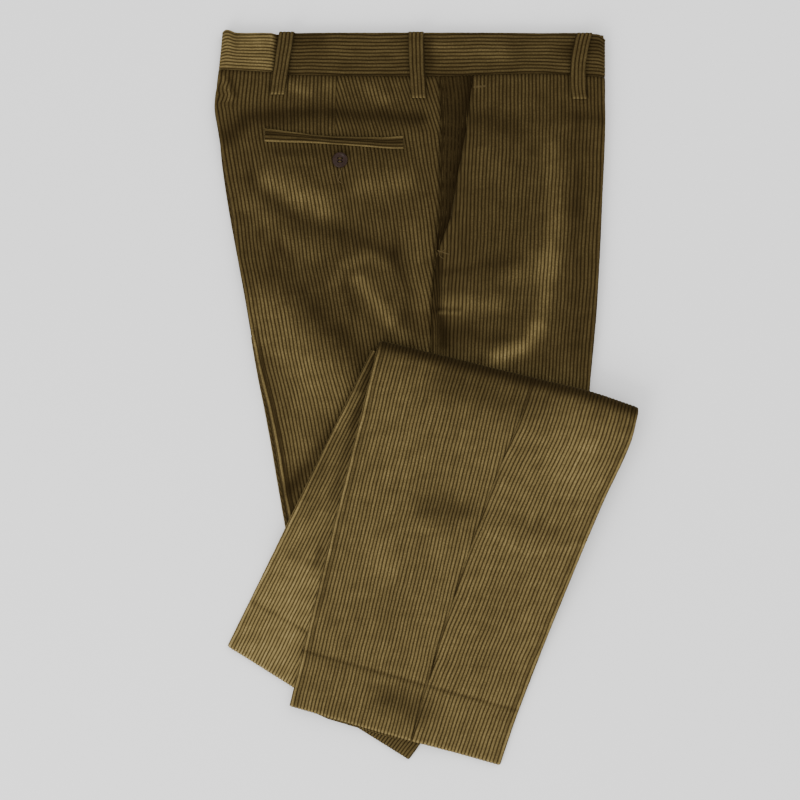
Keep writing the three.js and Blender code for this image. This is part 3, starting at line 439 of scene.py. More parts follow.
def narrowed_to(distance, width, widest, far):
    """Where a panel that is widest at one place has narrowed to a distance, on the way to `far`."""
    near = np.full(distance.shape, float(widest))
    off = np.broadcast_to(np.asarray(far, float), distance.shape).copy()
    open_end = width(off) >= distance
    end = off.copy()
    for _ in range(HALVINGS):
        half = (near + off) / 2
        wide = width(half) >= distance
        near, off = np.where(wide, half, near), np.where(wide, off, half)
    return np.where(open_end, end, near)


def meet(edge, crease, offset, start):
    """Where a column that keeps its distance from a crease meets a slanted line."""
    y = np.full(offset.shape, float(start))
    for _ in range(HALVINGS):
        y = edge(crease(y) + offset)
    return y


class Columns:
    """Columns along the wales, from a crease inwards: the turn round it, then the flat cloth."""

    def __init__(self, reach, pitch, creased=True, start=None):
        first = (CREASE_DEPTH if creased else 0.0) if start is None else start
        count = max(2, round(FINE * (reach - first) / pitch))
        flat = np.linspace(first, reach, count + 1)
        turns = np.linspace(-QUARTER, QUARTER, TURN_COLUMNS + 1)[:-1] if creased else np.zeros(0)
        round_it = TURN_LENGTH * (turns - QUARTER) / math.pi
        self.turn = np.concatenate([turns, np.full(len(flat), QUARTER)])
        self.distance = np.concatenate([np.zeros(len(turns)), flat])
        self.wale = np.concatenate([round_it, flat - first]) / pitch

    def inward(self, spread=1.0):
        """How far in from the crease's outline each column is. `spread` widens the flat cloth."""
        turning = (self.turn < QUARTER)[:, None]
        return np.where(turning, CREASE_DEPTH * (1 - np.cos(self.turn))[:, None], self.distance[:, None] * spread)


def linked(name, data):
    """An object in the scene."""
    piece = bpy.data.objects.new(name, data)
    bpy.context.scene.collection.objects.link(piece)
    return piece


def final_mesh(piece, name, **settings):
    """The plain mesh that a piece's modifiers or its curve make."""
    graph = bpy.context.evaluated_depsgraph_get()
    mesh = bpy.data.meshes.new_from_object(piece.evaluated_get(graph), depsgraph=graph, **settings)
    mesh.name = name
    return mesh


def shell(name, ground, wale, nap, pitch, cloth=CLOTH, around=False, down=False, rise=1.0):
    """A closed wall of cloth. `ground` holds the points of its outer side, by column and row. Its inner side
    is plain and keeps a column here and there. `around` closes the columns into a tube."""
    columns, rows = ground.shape[:2]
    if around:
        across = np.roll(ground, -1, 0) - np.roll(ground, 1, 0)
    else:
        across = np.gradient(ground, axis=0)
    normal = np.cross(across, np.gradient(ground, axis=1))
    normal /= np.maximum(np.linalg.norm(normal, axis=2, keepdims=True), 1e-9)
    if around:
        middle = ground.mean(axis=0, keepdims=True)
        outward = ((ground - middle) * normal).sum() > 0
    else:
        part = normal[columns // 2 : columns * 3 // 4, rows // 2 : rows * 3 // 4, 2]
        outward = (part.mean() > 0) != down
    if not outward:
        normal = -normal
    kept = list(range(0, columns, KEEP))
    if not around and kept[-1] != columns - 1:
        kept.append(columns - 1)
    inner = ground[kept] - normal[kept] * cloth
    step = np.linalg.norm(np.gradient(ground, axis=1), axis=2)
    along = np.cumsum(step, axis=1) / pitch
    wales = np.broadcast_to(wale[:, None] if wale.ndim == 1 else wale, (columns, rows))
    wales = wales + wander(ground[:, :, 0], ground[:, :, 1])
    naps_and_painted_light = np.broadcast_to(nap, (columns, rows))
    points = np.concatenate([ground.reshape(-1, 3), inner.reshape(-1, 3)]) * MM
    outer_at = np.arange(columns * rows).reshape(columns, rows)
    inner_at = columns * rows + np.arange(len(kept) * rows).reshape(len(kept), rows)
    if around:
        outer_at = np.concatenate([outer_at, outer_at[:1]])
        inner_at = np.concatenate([inner_at, inner_at[:1]])
        kept = [*kept, columns]
    quads = [
        np.stack([outer_at[:-1, :-1], outer_at[1:, :-1], outer_at[1:, 1:], outer_at[:-1, 1:]], -1),
        np.stack([inner_at[:-1, :-1], inner_at[:-1, 1:], inner_at[1:, 1:], inner_at[1:, :-1]], -1),
    ]
    if not around:
        for o, i, flip in ((outer_at[0], inner_at[0], 1), (outer_at[-1], inner_at[-1], -1)):
            rim = np.stack([o[:-1], o[1:], i[1:], i[:-1]], -1)
            quads.append(rim[:, ::flip])
    faces = np.concatenate([q.reshape(-1, 4) for q in quads]).tolist()
    for m in range(len(kept) - 1):
        a, b = kept[m], kept[m + 1]
        faces.append([*outer_at[a : b + 1, 0][::-1], inner_at[m, 0], inner_at[m + 1, 0]])
        faces.append([*outer_at[a : b + 1, -1], inner_at[m + 1, -1], inner_at[m, -1]])
    if not outward:
        faces = [face[::-1] for face in faces]
    mesh = bpy.data.meshes.new(name)
    mesh.from_pydata(points, [], faces)
    lift = np.concatenate([(normal * rise).reshape(-1, 3), np.zeros((len(inner) * rows, 3))])
    kept_columns = kept[: len(inner)]
    plane = np.stack([wales, along], -1)
    plane = np.concatenate([plane.reshape(-1, 2), plane[kept_columns].reshape(-1, 2)])
    # Each point's lightness, partly the lie of the nap and partly painted light and shade.
    tone = np.concatenate([naps_and_painted_light.ravel(), naps_and_painted_light[kept_columns].ravel()])
    for title, kind, field, values in (
        ("wale", "FLOAT", "value", plane[:, 0]),
        ("nap", "FLOAT", "value", tone),
        ("outward", "FLOAT_VECTOR", "vector", lift),
    ):
        mesh.attributes.new(title, kind, "POINT").data.foreach_set(field, values.astype(np.float32).ravel())
    corner = np.zeros(len(mesh.loops), np.int32)
    mesh.loops.foreach_get("vertex_index", corner)
    mesh.uv_layers.new(name="weave").uv.foreach_set("vector", plane[corner].astype(np.float32).ravel())
    return linked(name, mesh)


def new_tree(name, inputs):
    """An empty Geometry Nodes tree with a geometry input and output, and named inputs for its sizes."""
    tree = bpy.data.node_groups.new(name, "GeometryNodeTree")
    tree.interface.new_socket("Geometry", in_out="OUTPUT", socket_type="NodeSocketGeometry")
    tree.interface.new_socket("Geometry", in_out="INPUT", socket_type="NodeSocketGeometry")
    for title, kind in inputs:
        tree.interface.new_socket(title, in_out="INPUT", socket_type=f"NodeSocket{kind}")
    return tree


class Nodes:
    """Short ways to add and link nodes in a tree."""

    def __init__(self, tree):
        self.tree = tree

    def add(self, kind, feeds=None, **settings):
        node = self.tree.nodes.new(kind)
        for key, value in settings.items():
            setattr(node, key, value)
        for socket, source in (feeds or {}).items():
            self.feed(node.inputs[socket], source)
        return node

    def feed(self, socket, source):
        if isinstance(source, bpy.types.NodeSocket):
            self.tree.links.new(source, socket)
        elif isinstance(source, bpy.types.Node):
            self.tree.links.new(next(o for o in source.outputs if o.enabled), socket)
        else:
            socket.default_value = source

    def math(self, operation, *sources):
        return self.add("ShaderNodeMath", dict(enumerate(sources)), operation=operation).outputs[0]


def raise_wales_tree():
    """Raises the wales along a cloth's own wale number, a little unevenly."""
    sizes = [(title, "Float") for title in ("Rise", "Fullness", "Unevenness", "Seed")]
    tree = new_tree("raise_wales", (*sizes, ("Material", "Material")))
    n = Nodes(tree)
    given = n.add("NodeGroupInput")
    number = n.add("GeometryNodeInputNamedAttribute", {"Name": "wale"}, data_type="FLOAT")
    outward = n.add("GeometryNodeInputNamedAttribute", {"Name": "outward"}, data_type="FLOAT_VECTOR")
    wave = n.math("ABSOLUTE", n.math("SINE", n.math("MULTIPLY", number.outputs["Attribute"], math.pi)))
    crest = n.math("POWER", wave, given.outputs["Fullness"])
    noise = n.add(
        "ShaderNodeTexNoise",
        {"W": given.outputs["Seed"], "Scale": NOISE_SCALE, "Detail": 2.0},
        noise_dimensions="4D",
    )
    spread = n.math("MULTIPLY", n.math("SUBTRACT", noise.outputs[0], 0.5), given.outputs["Unevenness"])
    height = n.math("MULTIPLY", n.math("ADD", crest, spread), given.outputs["Rise"])
    offset = n.add(
        "ShaderNodeVectorMath", {0: outward.outputs["Attribute"], "Scale": height}, operation="SCALE"
    )
    moved = n.add(
        "GeometryNodeSetPosition", {"Geometry": given.outputs["Geometry"], "Offset": offset.outputs[0]}
    )
    whole = n.add("GeometryNodeRealizeInstances", {"Geometry": moved})
    dressed = n.add("GeometryNodeSetMaterial", {"Geometry": whole, "Material": given.outputs["Material"]})
    n.add("NodeGroupOutput", {"Geometry": dressed})
    return tree


def stitch_row_tree():
    """Stitches laid along a line at an even spacing."""
    sizes = [(title, "Float") for title in ("Spacing", "Length", "Thickness")]
    tree = new_tree("stitch_row", (*sizes, ("Material", "Material")))
    n = Nodes(tree)
    given = n.add("NodeGroupInput")
    line = n.add("GeometryNodeMeshToCurve", {"Mesh": given.outputs["Geometry"]})
    even = n.add("GeometryNodeResampleCurve", {"Curve": line}, mode="LENGTH")
    n.feed(even.inputs["Length"], given.outputs["Spacing"])
    bead = n.add("GeometryNodeMeshUVSphere", {"Segments": 8, "Rings": 6, "Radius": 0.5})
    size = n.add(
        "ShaderNodeCombineXYZ",
        {"X": given.outputs["Length"], "Y": given.outputs["Thickness"], "Z": given.outputs["Thickness"]},
    )
    tangent = n.add("GeometryNodeInputTangent")
    turned = n.add("FunctionNodeAlignRotationToVector", {"Vector": tangent.outputs[0]}, axis="X")
    laid = n.add(
        "GeometryNodeInstanceOnPoints",
        {"Points": even, "Instance": bead.outputs["Mesh"], "Rotation": turned, "Scale": size},
    )
    whole = n.add("GeometryNodeRealizeInstances", {"Geometry": laid})
    dressed = n.add("GeometryNodeSetMaterial", {"Geometry": whole, "Material": given.outputs["Material"]})
    n.add("NodeGroupOutput", {"Geometry": dressed})
    return tree


def with_tree(piece, tree, values):
    """Runs a Geometry Nodes tree on a piece and keeps the plain mesh that it makes."""
    modifier = piece.modifiers.new(tree.name, "NODES")
    modifier.node_group = tree
    for socket in tree.interface.items_tree:
        if socket.in_out == "INPUT" and socket.name in values:
            modifier[socket.identifier] = values[socket.name]
    made = final_mesh(piece, piece.name, preserve_all_data_layers=True)
    piece.modifiers.clear()
    bare, piece.data = piece.data, made
    bpy.data.meshes.remove(bare)


def smooth_faces(piece, angle=SHARP):
    """Shades a piece smoothly, but not across its sharp edges."""
    mesh = piece.data
    mesh.polygons.foreach_set("use_smooth", np.ones(len(mesh.polygons), bool))
    mesh.set_sharp_from_angle(angle=math.radians(angle))
    mesh.update()


def corduroy_group():
    """Shared masks of the cloth: crest and groove, fine pile, streaks along the wales, and soft patches."""
    tree = bpy.data.node_groups.new("corduroy_weave", "ShaderNodeTree")
    for title in ("Crest", "Pile", "Streak", "Patch"):
        tree.interface.new_socket(title, in_out="OUTPUT", socket_type="NodeSocketFloat")
    for title, kind in (("Weave", "Vector"), ("Place", "Vector"), ("Fullness", "Float")):
        tree.interface.new_socket(title, in_out="INPUT", socket_type=f"NodeSocket{kind}")
    n = Nodes(tree)
    given = n.add("NodeGroupInput")
    number = n.add("ShaderNodeSeparateXYZ", {0: given.outputs["Weave"]})
    wave = n.math("ABSOLUTE", n.math("SINE", n.math("MULTIPLY", number.outputs["X"], math.pi)))
    crest = n.math("POWER", wave, given.outputs["Fullness"])
    effects = {"Crest": crest}
    for effect, vector, scale, detail, rough in (
        ("Pile", "Weave", (2.6, 2.8, 1.0), 3.0, 0.65),
        ("Patch", "Place", (45.0, 110.0, 45.0), 3.0, 0.5),
        ("Streak", "Weave", (1.1, 0.12, 1.0), 2.0, 0.5),
    ):
        scaled = n.add("ShaderNodeMapping", {"Vector": given.outputs[vector], "Scale": scale})
        noise = n.add("ShaderNodeTexNoise", {"Vector": scaled, "Scale": 1.0, "Detail": detail, "Roughness": rough})
        effects[effect] = noise.outputs[0]
    n.add("NodeGroupOutput", effects)
    return tree


def new_material(name):
    """A material with nothing but its output, and the nodes to fill it with."""
    material = bpy.data.materials.new(name)
    material.use_nodes = True
    material.node_tree.nodes.clear()
    return material, Nodes(material.node_tree)


def corduroy(colours):
    """Olive brown corduroy: painted shade in the grooves, painted highlights on the crests that catch the light,
    and a pile that lies light or dark, with painted light and shade on it.
    """
    material, n = new_material("corduroy_cloth")
    weave = n.add("ShaderNodeUVMap", uv_map="weave")
    place = n.add("ShaderNodeTexCoord")
    group = n.add("ShaderNodeGroup", node_tree=corduroy_group())
    n.feed(group.inputs["Weave"], weave)
    n.feed(group.inputs["Place"], place.outputs["Object"])
    n.feed(group.inputs["Fullness"], CREST_FULLNESS)
    nap = n.add("ShaderNodeAttribute", attribute_name="nap")
    # Painted highlight on the crests and painted shade in the grooves, times the cloth's lightness with its
    # painted light and shade.
    painted_rib_light = n.math("MAXIMUM", n.math("MULTIPLY_ADD", group.outputs["Crest"], CREST_PAINTED_LIGHT, GROOVE_PAINTED_SHADE), 0.0)
    light = n.math("MULTIPLY", painted_rib_light, nap.outputs["Fac"])
    for effect, much in (("Pile", PILE_LIGHT), ("Streak", STREAK_LIGHT), ("Patch", PATCH_LIGHT)):
        share = n.math("MULTIPLY_ADD", group.outputs[effect], much, 1 - much / 2)
        light = n.math("MULTIPLY", light, n.math("MAXIMUM", share, 0.0))
    # The lightness picks a colour from painted deep shade through painted soft shade and the lit cloth to a
    # painted highlight.
    colour = n.add("ShaderNodeValToRGB", {"Fac": n.math("MULTIPLY", light, 1 / BRIGHTEST)})
    ramp = colour.color_ramp.elements
    for place_on, tone in ((DEEP / BRIGHTEST, colours.nap_deep), (1 / BRIGHTEST, colours.nap_light)):
        ramp.new(place_on).color = (*tone, 1.0)
    ramp[0].color, ramp[-1].color = (*colours.nap_dark, 1.0), (*colours.nap_bright, 1.0)
    fuzz = n.add("ShaderNodeBump", {"Height": group.outputs["Pile"], "Strength": 0.6, "Distance": 0.0004})
    shader = n.add("ShaderNodeBsdfPrincipled", {"Base Color": colour.outputs["Color"], "Normal": fuzz})
    for socket, value in (
        ("Roughness", 0.95),
        ("Specular IOR Level", 0.04),
        ("Sheen Weight", 0.05),
        ("Sheen Roughness", 0.45),
        ("Sheen Tint", (0.9, 0.7, 0.3, 1.0)),
    ):
        shader.inputs[socket].default_value = value
    n.add("ShaderNodeOutputMaterial", {"Surface": shader})
    return material


def mottled(name, dark, light, scale, roughness, specular):
    """A plain surface with a soft mottle of two colours."""
    material, n = new_material(name)
    place = n.add("ShaderNodeTexCoord")
    noise = n.add("ShaderNodeTexNoise", {"Vector": place.outputs["Object"], "Scale": scale, "Detail": 4.0})
    colour = n.add(
        "ShaderNodeMix",
        {"Factor": noise.outputs[0], "A": (*dark, 1.0), "B": (*light, 1.0)},
        data_type="RGBA",
    )
    grain = n.add("ShaderNodeBump", {"Height": noise.outputs[0], "Strength": 0.15, "Distance": 0.0003})
    shader = n.add(
        "ShaderNodeBsdfPrincipled",
        {"Base Color": colour.outputs["Result"], "Normal": grain, "Roughness": roughness},
    )
    shader.inputs["Specular IOR Level"].default_value = specular
    n.add("ShaderNodeOutputMaterial", {"Surface": shader})
    return material


def the_material(name):
    """A material of the trousers, made the first time that it is asked for."""
    found = bpy.data.materials.get(name)
    if found:
        return found
    colours = bpy.context.scene.trousers_colours
    if name == "corduroy_cloth":
        return corduroy(colours)
    if name == "sewing_thread":
        return mottled(name, colours.thread * 0.7, colours.thread, 900.0, 0.85, 0.05)
    if name == "button_resin":
        return mottled(name, colours.button * 0.4, colours.button * 1.6, 380.0, 0.42, 0.12)
    return mottled(name, colours.floor * 0.99, colours.floor, 6.0, 0.9, 0.1)


def the_tree(maker):
    """A Geometry Nodes tree of this script, built once."""
    name = maker.__name__.removesuffix("_tree")
    return bpy.data.node_groups.get(name) or maker()


def finish_cloth(piece, replaces=("hidden_layers",)):
    sizes = bpy.context.scene.trousers_sizes
    with_tree(
        piece,
        the_tree(raise_wales_tree),
        {
            "Rise": sizes.wale_rise,
            "Fullness": sizes.wale_fullness,
            "Unevenness": sizes.unevenness,
            "Seed": float(sizes.seed),
            "Material": the_material("corduroy_cloth"),
        },
    )
    smooth_faces(piece)
    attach(piece, "root")
    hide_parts(*replaces)


def flat_area(ground):
    """Area of a grid of points, in square metres."""
    a = ground[1:, :-1] - ground[:-1, :-1]
    b = ground[:-1, 1:] - ground[:-1, :-1]
    return float(np.linalg.norm(np.cross(a, b), axis=2).sum()) * MM * MM


def cut_size(ground):
    """Width and length of the smallest upright cut that a grid of points comes from, in metres."""
    width = np.linalg.norm(np.diff(ground, axis=0), axis=2).sum(axis=0).max() * MM
    length = np.linalg.norm(np.diff(ground, axis=1), axis=2).sum(axis=1).max() * MM
    return float(width), float(length)


def joined(name, pieces):
    """Several objects made one."""
    if len(pieces) > 1:
        with bpy.context.temp_override(
            active_object=pieces[0], selected_editable_objects=pieces, selected_objects=pieces
        ):
            bpy.ops.object.join()
    pieces[0].name = pieces[0].data.name = name
    return pieces[0]


def laid_cloth(name, patches, pitch, replaces):
    """One piece of cloth from one or more patches that meet at a slit."""
    area = sum(flat_area(ground) for ground, _, _ in patches)
    width = max(NARROWEST, sum(float(np.ptp(wale)) * pitch * MM for _, wale, _ in patches))
    length = max(cut_size(ground)[1] for ground, _, _ in patches)
    shells = [
        shell(f"{name}_{k}" if k else name, ground, wale, nap, pitch)
        for k, (ground, wale, nap) in enumerate(patches)
    ]
    area = float(np.clip(area, LEAST_AREA * width * length, width * length))
    finish_cloth(joined(name, shells), replaces)


# The upper stretch: back panel with its dart, front panel, and the facing of the slanted pocket.
DART = {"top_x": -89.0, "top_y": 326.0, "tip_y": 266.0, "intake": 20.0}
PANEL_ROWS = 112
SEAM_PUFF = 0.7
SEAM_TURN = 1.7
WELL = 1.0


def seam_edge(distance, sunk=False):
    """Change of height towards a seam: the edge on top is puffed and turns down, the other one sinks."""
    if sunk:
        return -WELL * bump(distance, 2.6)
    return SEAM_PUFF * bump(distance - 4.5, 3.2) - SEAM_TURN * bump(distance, 1.3)


def panel_top(x):
    return band_bottom(x) - 2 * GAP


def panel_bottom(x):
    return np.maximum(PANEL_END, np.minimum(fold_y(x), leg_edge_y(x)) - UNDER_FOLD)


def spaced(high, low, rows):
    """Rows from each column's high end to its low end."""
    return high[:, None] + (low - high)[:, None] * np.linspace(0, 1, rows)[None, :]


def front_seam_x(y):
    return np.maximum(seam_x(y), pocket_x(y))


def upper_nap(base, x, y, ditch_painted_shade):
    """Lightness of the upper stretch's cloth: the pile's lie with the painted light and shade of its folds,
    painted light along the fold and painted shade in its ditches.
    """
    light = base * np.maximum(LEAST_PAINTED_LIGHT, 1 + folds(UPPER_FOLDS, "nap", x, y))
    # Painted light along the fold, where the top leg casts its shadow.
    light = light * (1 + 0.5 * bump(y - fold_y(x), 15) * smooth((x + 30) / 40))
    # Painted shade in the seam, dart and waist ditches.
    return light * (1 - 0.45 * ditch_painted_shade)


def back_panel(pitch):
    """The right back panel: a patch on each side of the dart, joined below its tip."""
    tip_y = DART["tip_y"]
    tip = CREASE_DEPTH + pitch * round((DART_WIDTH - CREASE_DEPTH) / pitch)
    tip_x = float(seat_x(tip_y)) + tip
    lean = (DART["top_x"] - tip_x) / (DART["top_y"] - tip_y)
    rate = DART["intake"] / (DART["top_y"] - tip_y)

    def dart_x(y):
        return tip_x + lean * (y - tip_y)

    def height(x, y):
        over = smooth((y - tip_y) / 12)
        dart = bump(x - dart_x(y), 1.9) * over
        waist = bump(y - panel_top(x), WAIST_DITCH)
        seam = seam_x(y) - x
        z = upper_height(x, y) - 0.45 * dart - WELL * waist + seam_edge(seam)
        # The second value marks the dart, waist and seam ditches, which get painted shade.
        return z, np.maximum(np.maximum(0.5 * dart, waist), bump(seam, 1.6))

    left = Columns(tip, pitch)
    high = meet(panel_top, seat_x, left.distance, BELOW_BAND)
    low = meet(panel_bottom, seat_x, left.distance, 0)
    y = spaced(high, low, PANEL_ROWS)
    x = seat_x(y) + left.inward(np.where(y > tip_y, (dart_x(y) - seat_x(y)) / tip, 1))
    z, ditch_painted_shade = height(x, y)
    z = z + crease_down(left.turn)[:, None]
    # Painted highlight line and painted shade in a groove along the seat crease, towards its lower end.
    painted_crease_light = 1 + 2.2 * pressed_edge(x - seat_x(y)) * smooth((100 - y) / 60)
    patches = [(np.stack([x, y, z], -1), left.wale, upper_nap(NAP_AND_PAINTED_LIGHT["back"], x, y, ditch_painted_shade) * painted_crease_light)]

    def base_x(y):
        return np.where(y > tip_y, dart_x(y) - tip - rate * (y - tip_y), seat_x(y))

    def widest(y):
        return seam_x(y) - GAP / 2 - base_x(y)

    right = Columns(float(widest(BELOW_BAND)), pitch, creased=False, start=tip)
    right.wale = (right.distance - CREASE_DEPTH) / pitch
    top = meet(panel_top, base_x, right.distance, BELOW_BAND)
    high = np.minimum(top, tip_y + (right.distance - tip) / rate)
    bottom = meet(panel_bottom, seat_x, right.distance, 0)
    low = narrowed_to(right.distance, widest, BELOW_BAND - 2, bottom)
    low = np.minimum(low, high - 0.5)
    y = spaced(high, low, PANEL_ROWS)
    x = base_x(y) + right.distance[:, None]
    z, ditch_painted_shade = height(x, y)
    patches.append((np.stack([x, y, z], -1), right.wale, upper_nap(NAP_AND_PAINTED_LIGHT["back"], x, y, ditch_painted_shade)))
    return patches


def front_panel(pitch):
    """The right front panel, from its crease to the pocket's edge and the side seam."""

    def width(y):
        return front_x(y) - front_seam_x(y) - GAP

    reach = float(width(FRONT_WIDEST))
    c = Columns(reach, pitch)
    high = meet(panel_top, front_x, -c.distance, FRONT_WIDEST)
    low = meet(panel_bottom, front_x, -c.distance, FRONT_WIDEST)
    high = narrowed_to(np.minimum(c.distance, reach), width, FRONT_WIDEST, high)
    y = spaced(high, low, PANEL_ROWS)
    spread = np.where(y < FRONT_WIDEST, width(y) / reach, 1)
    x = front_x(y) - c.inward(spread)
    off = x - front_seam_x(y)
    pocket = smooth((y - 118) / 10)
    edge = pocket * seam_edge(off) + (1 - pocket) * seam_edge(off, sunk=True)
    waist = bump(y - panel_top(x), WAIST_DITCH)
    z = upper_height(x, y) + edge - WELL * waist + crease_down(c.turn)[:, None]
    # Painted shade in the waist ditch and along the pocket's edge and the side seam.
    nap = upper_nap(NAP_AND_PAINTED_LIGHT["front"], x, y, np.maximum(waist, bump(off, 1.8)))
    pulled = 0.2 * np.clip(PULLED_FROM - y, 0, 60) / pitch * smooth((20 - x) / 12)
    return [(np.stack([x, y, z], -1), c.wale[:, None] + pulled, nap)]


def pocket_facing(pitch):
    """The strip that shows between the side seam and the pocket's edge."""

    def width(y):
        return pocket_x(y) + FACING_UNDER - seam_x(y) - GAP

    c = Columns(float(width(BELOW_BAND)), pitch, creased=False)
    top = meet(panel_top, seam_x, c.distance, BELOW_BAND)
    low = narrowed_to(c.distance, width, BELOW_BAND - 2, FACING_END)
    y = spaced(top, np.minimum(low, top - 1), 60)
    x = seam_x(y) + GAP / 2 + c.distance[:, None]
    z = upper_height(x, y) - FACING_LOW - 0.6 * bump(x - seam_x(y), 3.0)
    # The facing lies in painted shade, deepest beside the side seam and the pocket's edge.
    nap = NAP_AND_PAINTED_LIGHT["facing"] * (1.5 - 0.7 * bump(x - seam_x(y), 5.0) - 1.1 * bump(x - pocket_x(y), 8.0))
    return [(np.stack([x, y, z], -1), c.wale, nap)]


def left_edge(pitch):
    """The left leg's back, which shows as a narrow edge beside the seat."""
    c = Columns(11.0, pitch)
    y = spaced(np.full(c.turn.shape, 60.0), np.full(c.turn.shape, -140.0), 70)
    x = left_leg_x(y) + c.inward()
    z = LEFT_LEG_TOP - 1.3 + crease_down(c.turn, LEFT_HALF)[:, None] + 0 * y
    # An even lightness: painted light on this edge, which faces the key lamp.
    return [(np.stack([x, y, z], -1), c.wale, NAP_AND_PAINTED_LIGHT["left_edge"] + 0 * y)]


# The lower stretch: the top leg comes up round the fold and lies down to its hem.
WRAP_ROWS = 16
RETURN_ROWS = 5
RETURN = 34.0
LEG_ROWS = 112
HEM_ROWS = (0.9935, 0.9955, 0.9972, 0.9988, 1.0)
HEM_DEPTH = 56.0
HEM_DENT = 0.6


def rounded(share, most=0.98):
    """How far a rounded edge has turned down, from 0 to nearly 1."""
    return 1 - np.sqrt(1 - most * share**2)


def hem_turn(a):
    """How far the cloth turns down at the hem's folded edge."""
    return HEM_ROUND * 0.8 * rounded(np.clip((a - 1) * LEG_LENGTH / HEM_ROUND + 1, 0, 1))


def pressed_edge(away):
    """Painted light along a pressed crease: a painted highlight line with painted shade in a groove inside it."""
    return 0.34 * bump(away - 2.0, 1.2) - 0.34 * bump(away - 5.4, 1.3)


def hem_line(a):
    """The dented row where the hem is caught down."""
    return bump((1 - a) * LEG_LENGTH - HEM_DEPTH, 2.0)


def lower_panel(pitch, from_back, widest):
    """A panel of the top leg between a crease and the outseam."""

    def share(a):
        return outseam_share(a) if from_back else 1 - outseam_share(a)

    def width(a):
        return RIGHT_LEG.width(a) * share(a) - OUTSEAM_ROOM

    reach = float(width(widest))
    c = Columns(reach, pitch)
    end = narrowed_to(np.minimum(c.distance, reach), width, widest, 1.0)[:, None]
    start = FOLD_DEPTH / LEG_LENGTH
    wrap = np.linspace(math.pi, 0, WRAP_ROWS, endpoint=False)
    swing = np.concatenate([np.full(RETURN_ROWS, math.pi), wrap, np.zeros(LEG_ROWS)])
    hidden = np.linspace(RETURN, 0, RETURN_ROWS, endpoint=False)
    hidden = np.concatenate([hidden, np.zeros(WRAP_ROWS + LEG_ROWS)])
    flat = np.concatenate([np.linspace(0, HEM_ROWS[0], LEG_ROWS - len(HEM_ROWS) + 1), HEM_ROWS[1:]])
    run = np.concatenate([np.zeros(RETURN_ROWS + WRAP_ROWS), flat])[None, :]
    down = crease_down(c.turn)[:, None]
    a = start + (end - start) * run + (hidden - (FOLD_DEPTH + down) * np.sin(swing)) / LEG_LENGTH
    spread = np.where(a < widest, width(a) / reach, 1)
    away = c.inward(spread)
    painted_crease_light = pressed_edge(away)
    away = away / RIGHT_LEG.width(a)
    across = away if from_back else 1 - away
    x, y = RIGHT_LEG.place(a, across)
    y = y + fold_bow(across) * np.maximum(0, 1 - a / 0.12)
    off = np.abs(outseam_share(a) - across) * RIGHT_LEG.width(a)
    calm = smooth((1 - a) / 0.06)
    top = right_leg_height(a, across) + folds(LOWER_FOLDS, "rise", x, y) * calm
    top = top + 0.4 * (1 - 0.7 * smooth((a - 0.8) / 0.15)) * seam_edge(off, sunk=not from_back)
    top = top - hem_turn(a) - HEM_DENT * hem_line(a)
    z = top - FOLD_HALF + (FOLD_HALF + down) * np.cos(swing)[None, :]
    # Painted shade along the fold's rounded top edge, which turns away from the key lamp, fading down the leg.
    rim = 0.55 * (1 - smooth((a * LEG_LENGTH - 3) / 13)) + 0.3 * (1 - smooth(a * LEG_LENGTH / 50))
    light = NAP_AND_PAINTED_LIGHT["leg_back"] + (NAP_AND_PAINTED_LIGHT["leg_front"] - NAP_AND_PAINTED_LIGHT["leg_back"]) * smooth((across - 0.25) / 0.5)
    nap = light * np.maximum(LEAST_PAINTED_LIGHT, 1 + folds(LOWER_FOLDS, "nap", x, y))
    # Painted shade along the outseam and in the hem's dented row of stitches.
    nap = nap * (1 - rim) * (1 - 0.35 * bump(off, 1.4)) * (1 - 0.45 * hem_line(a))
    # Painted light on the pressed creases, and a painted highlight along the hem's folded edge.
    nap = nap * (1 + painted_crease_light + 0.5 * smooth((a - 0.992) / 0.005))
    return [(np.stack([x, y, z], -1), c.wale, nap)]


def underside(name, pitch, plan, height, first, peek, room=4.0, columns=60, rows=70):
    """The under layer of a leg, which shows a little beyond its hem."""
    across = np.linspace(0, 1, columns)[:, None]
    end = 1 + peek(across) / LEG_LENGTH
    a = first + (end - first) * np.linspace(0, 1, rows)[None, :]
    wide = plan.width(np.minimum(a, 1))
    inset = room / wide
    share = inset + (1 - 2 * inset) * across
    x, y = plan.place(a, share)
    z = np.maximum(0.1, height(np.minimum(a, 1), share, x, y) - 2 * LEG_HALF)
    ground = np.stack([x, y, z], -1)
    piece = shell(name, ground, across * wide / pitch, NAP_AND_PAINTED_LIGHT["leg_under"], pitch, down=True, rise=0.0)
    finish_cloth(piece)


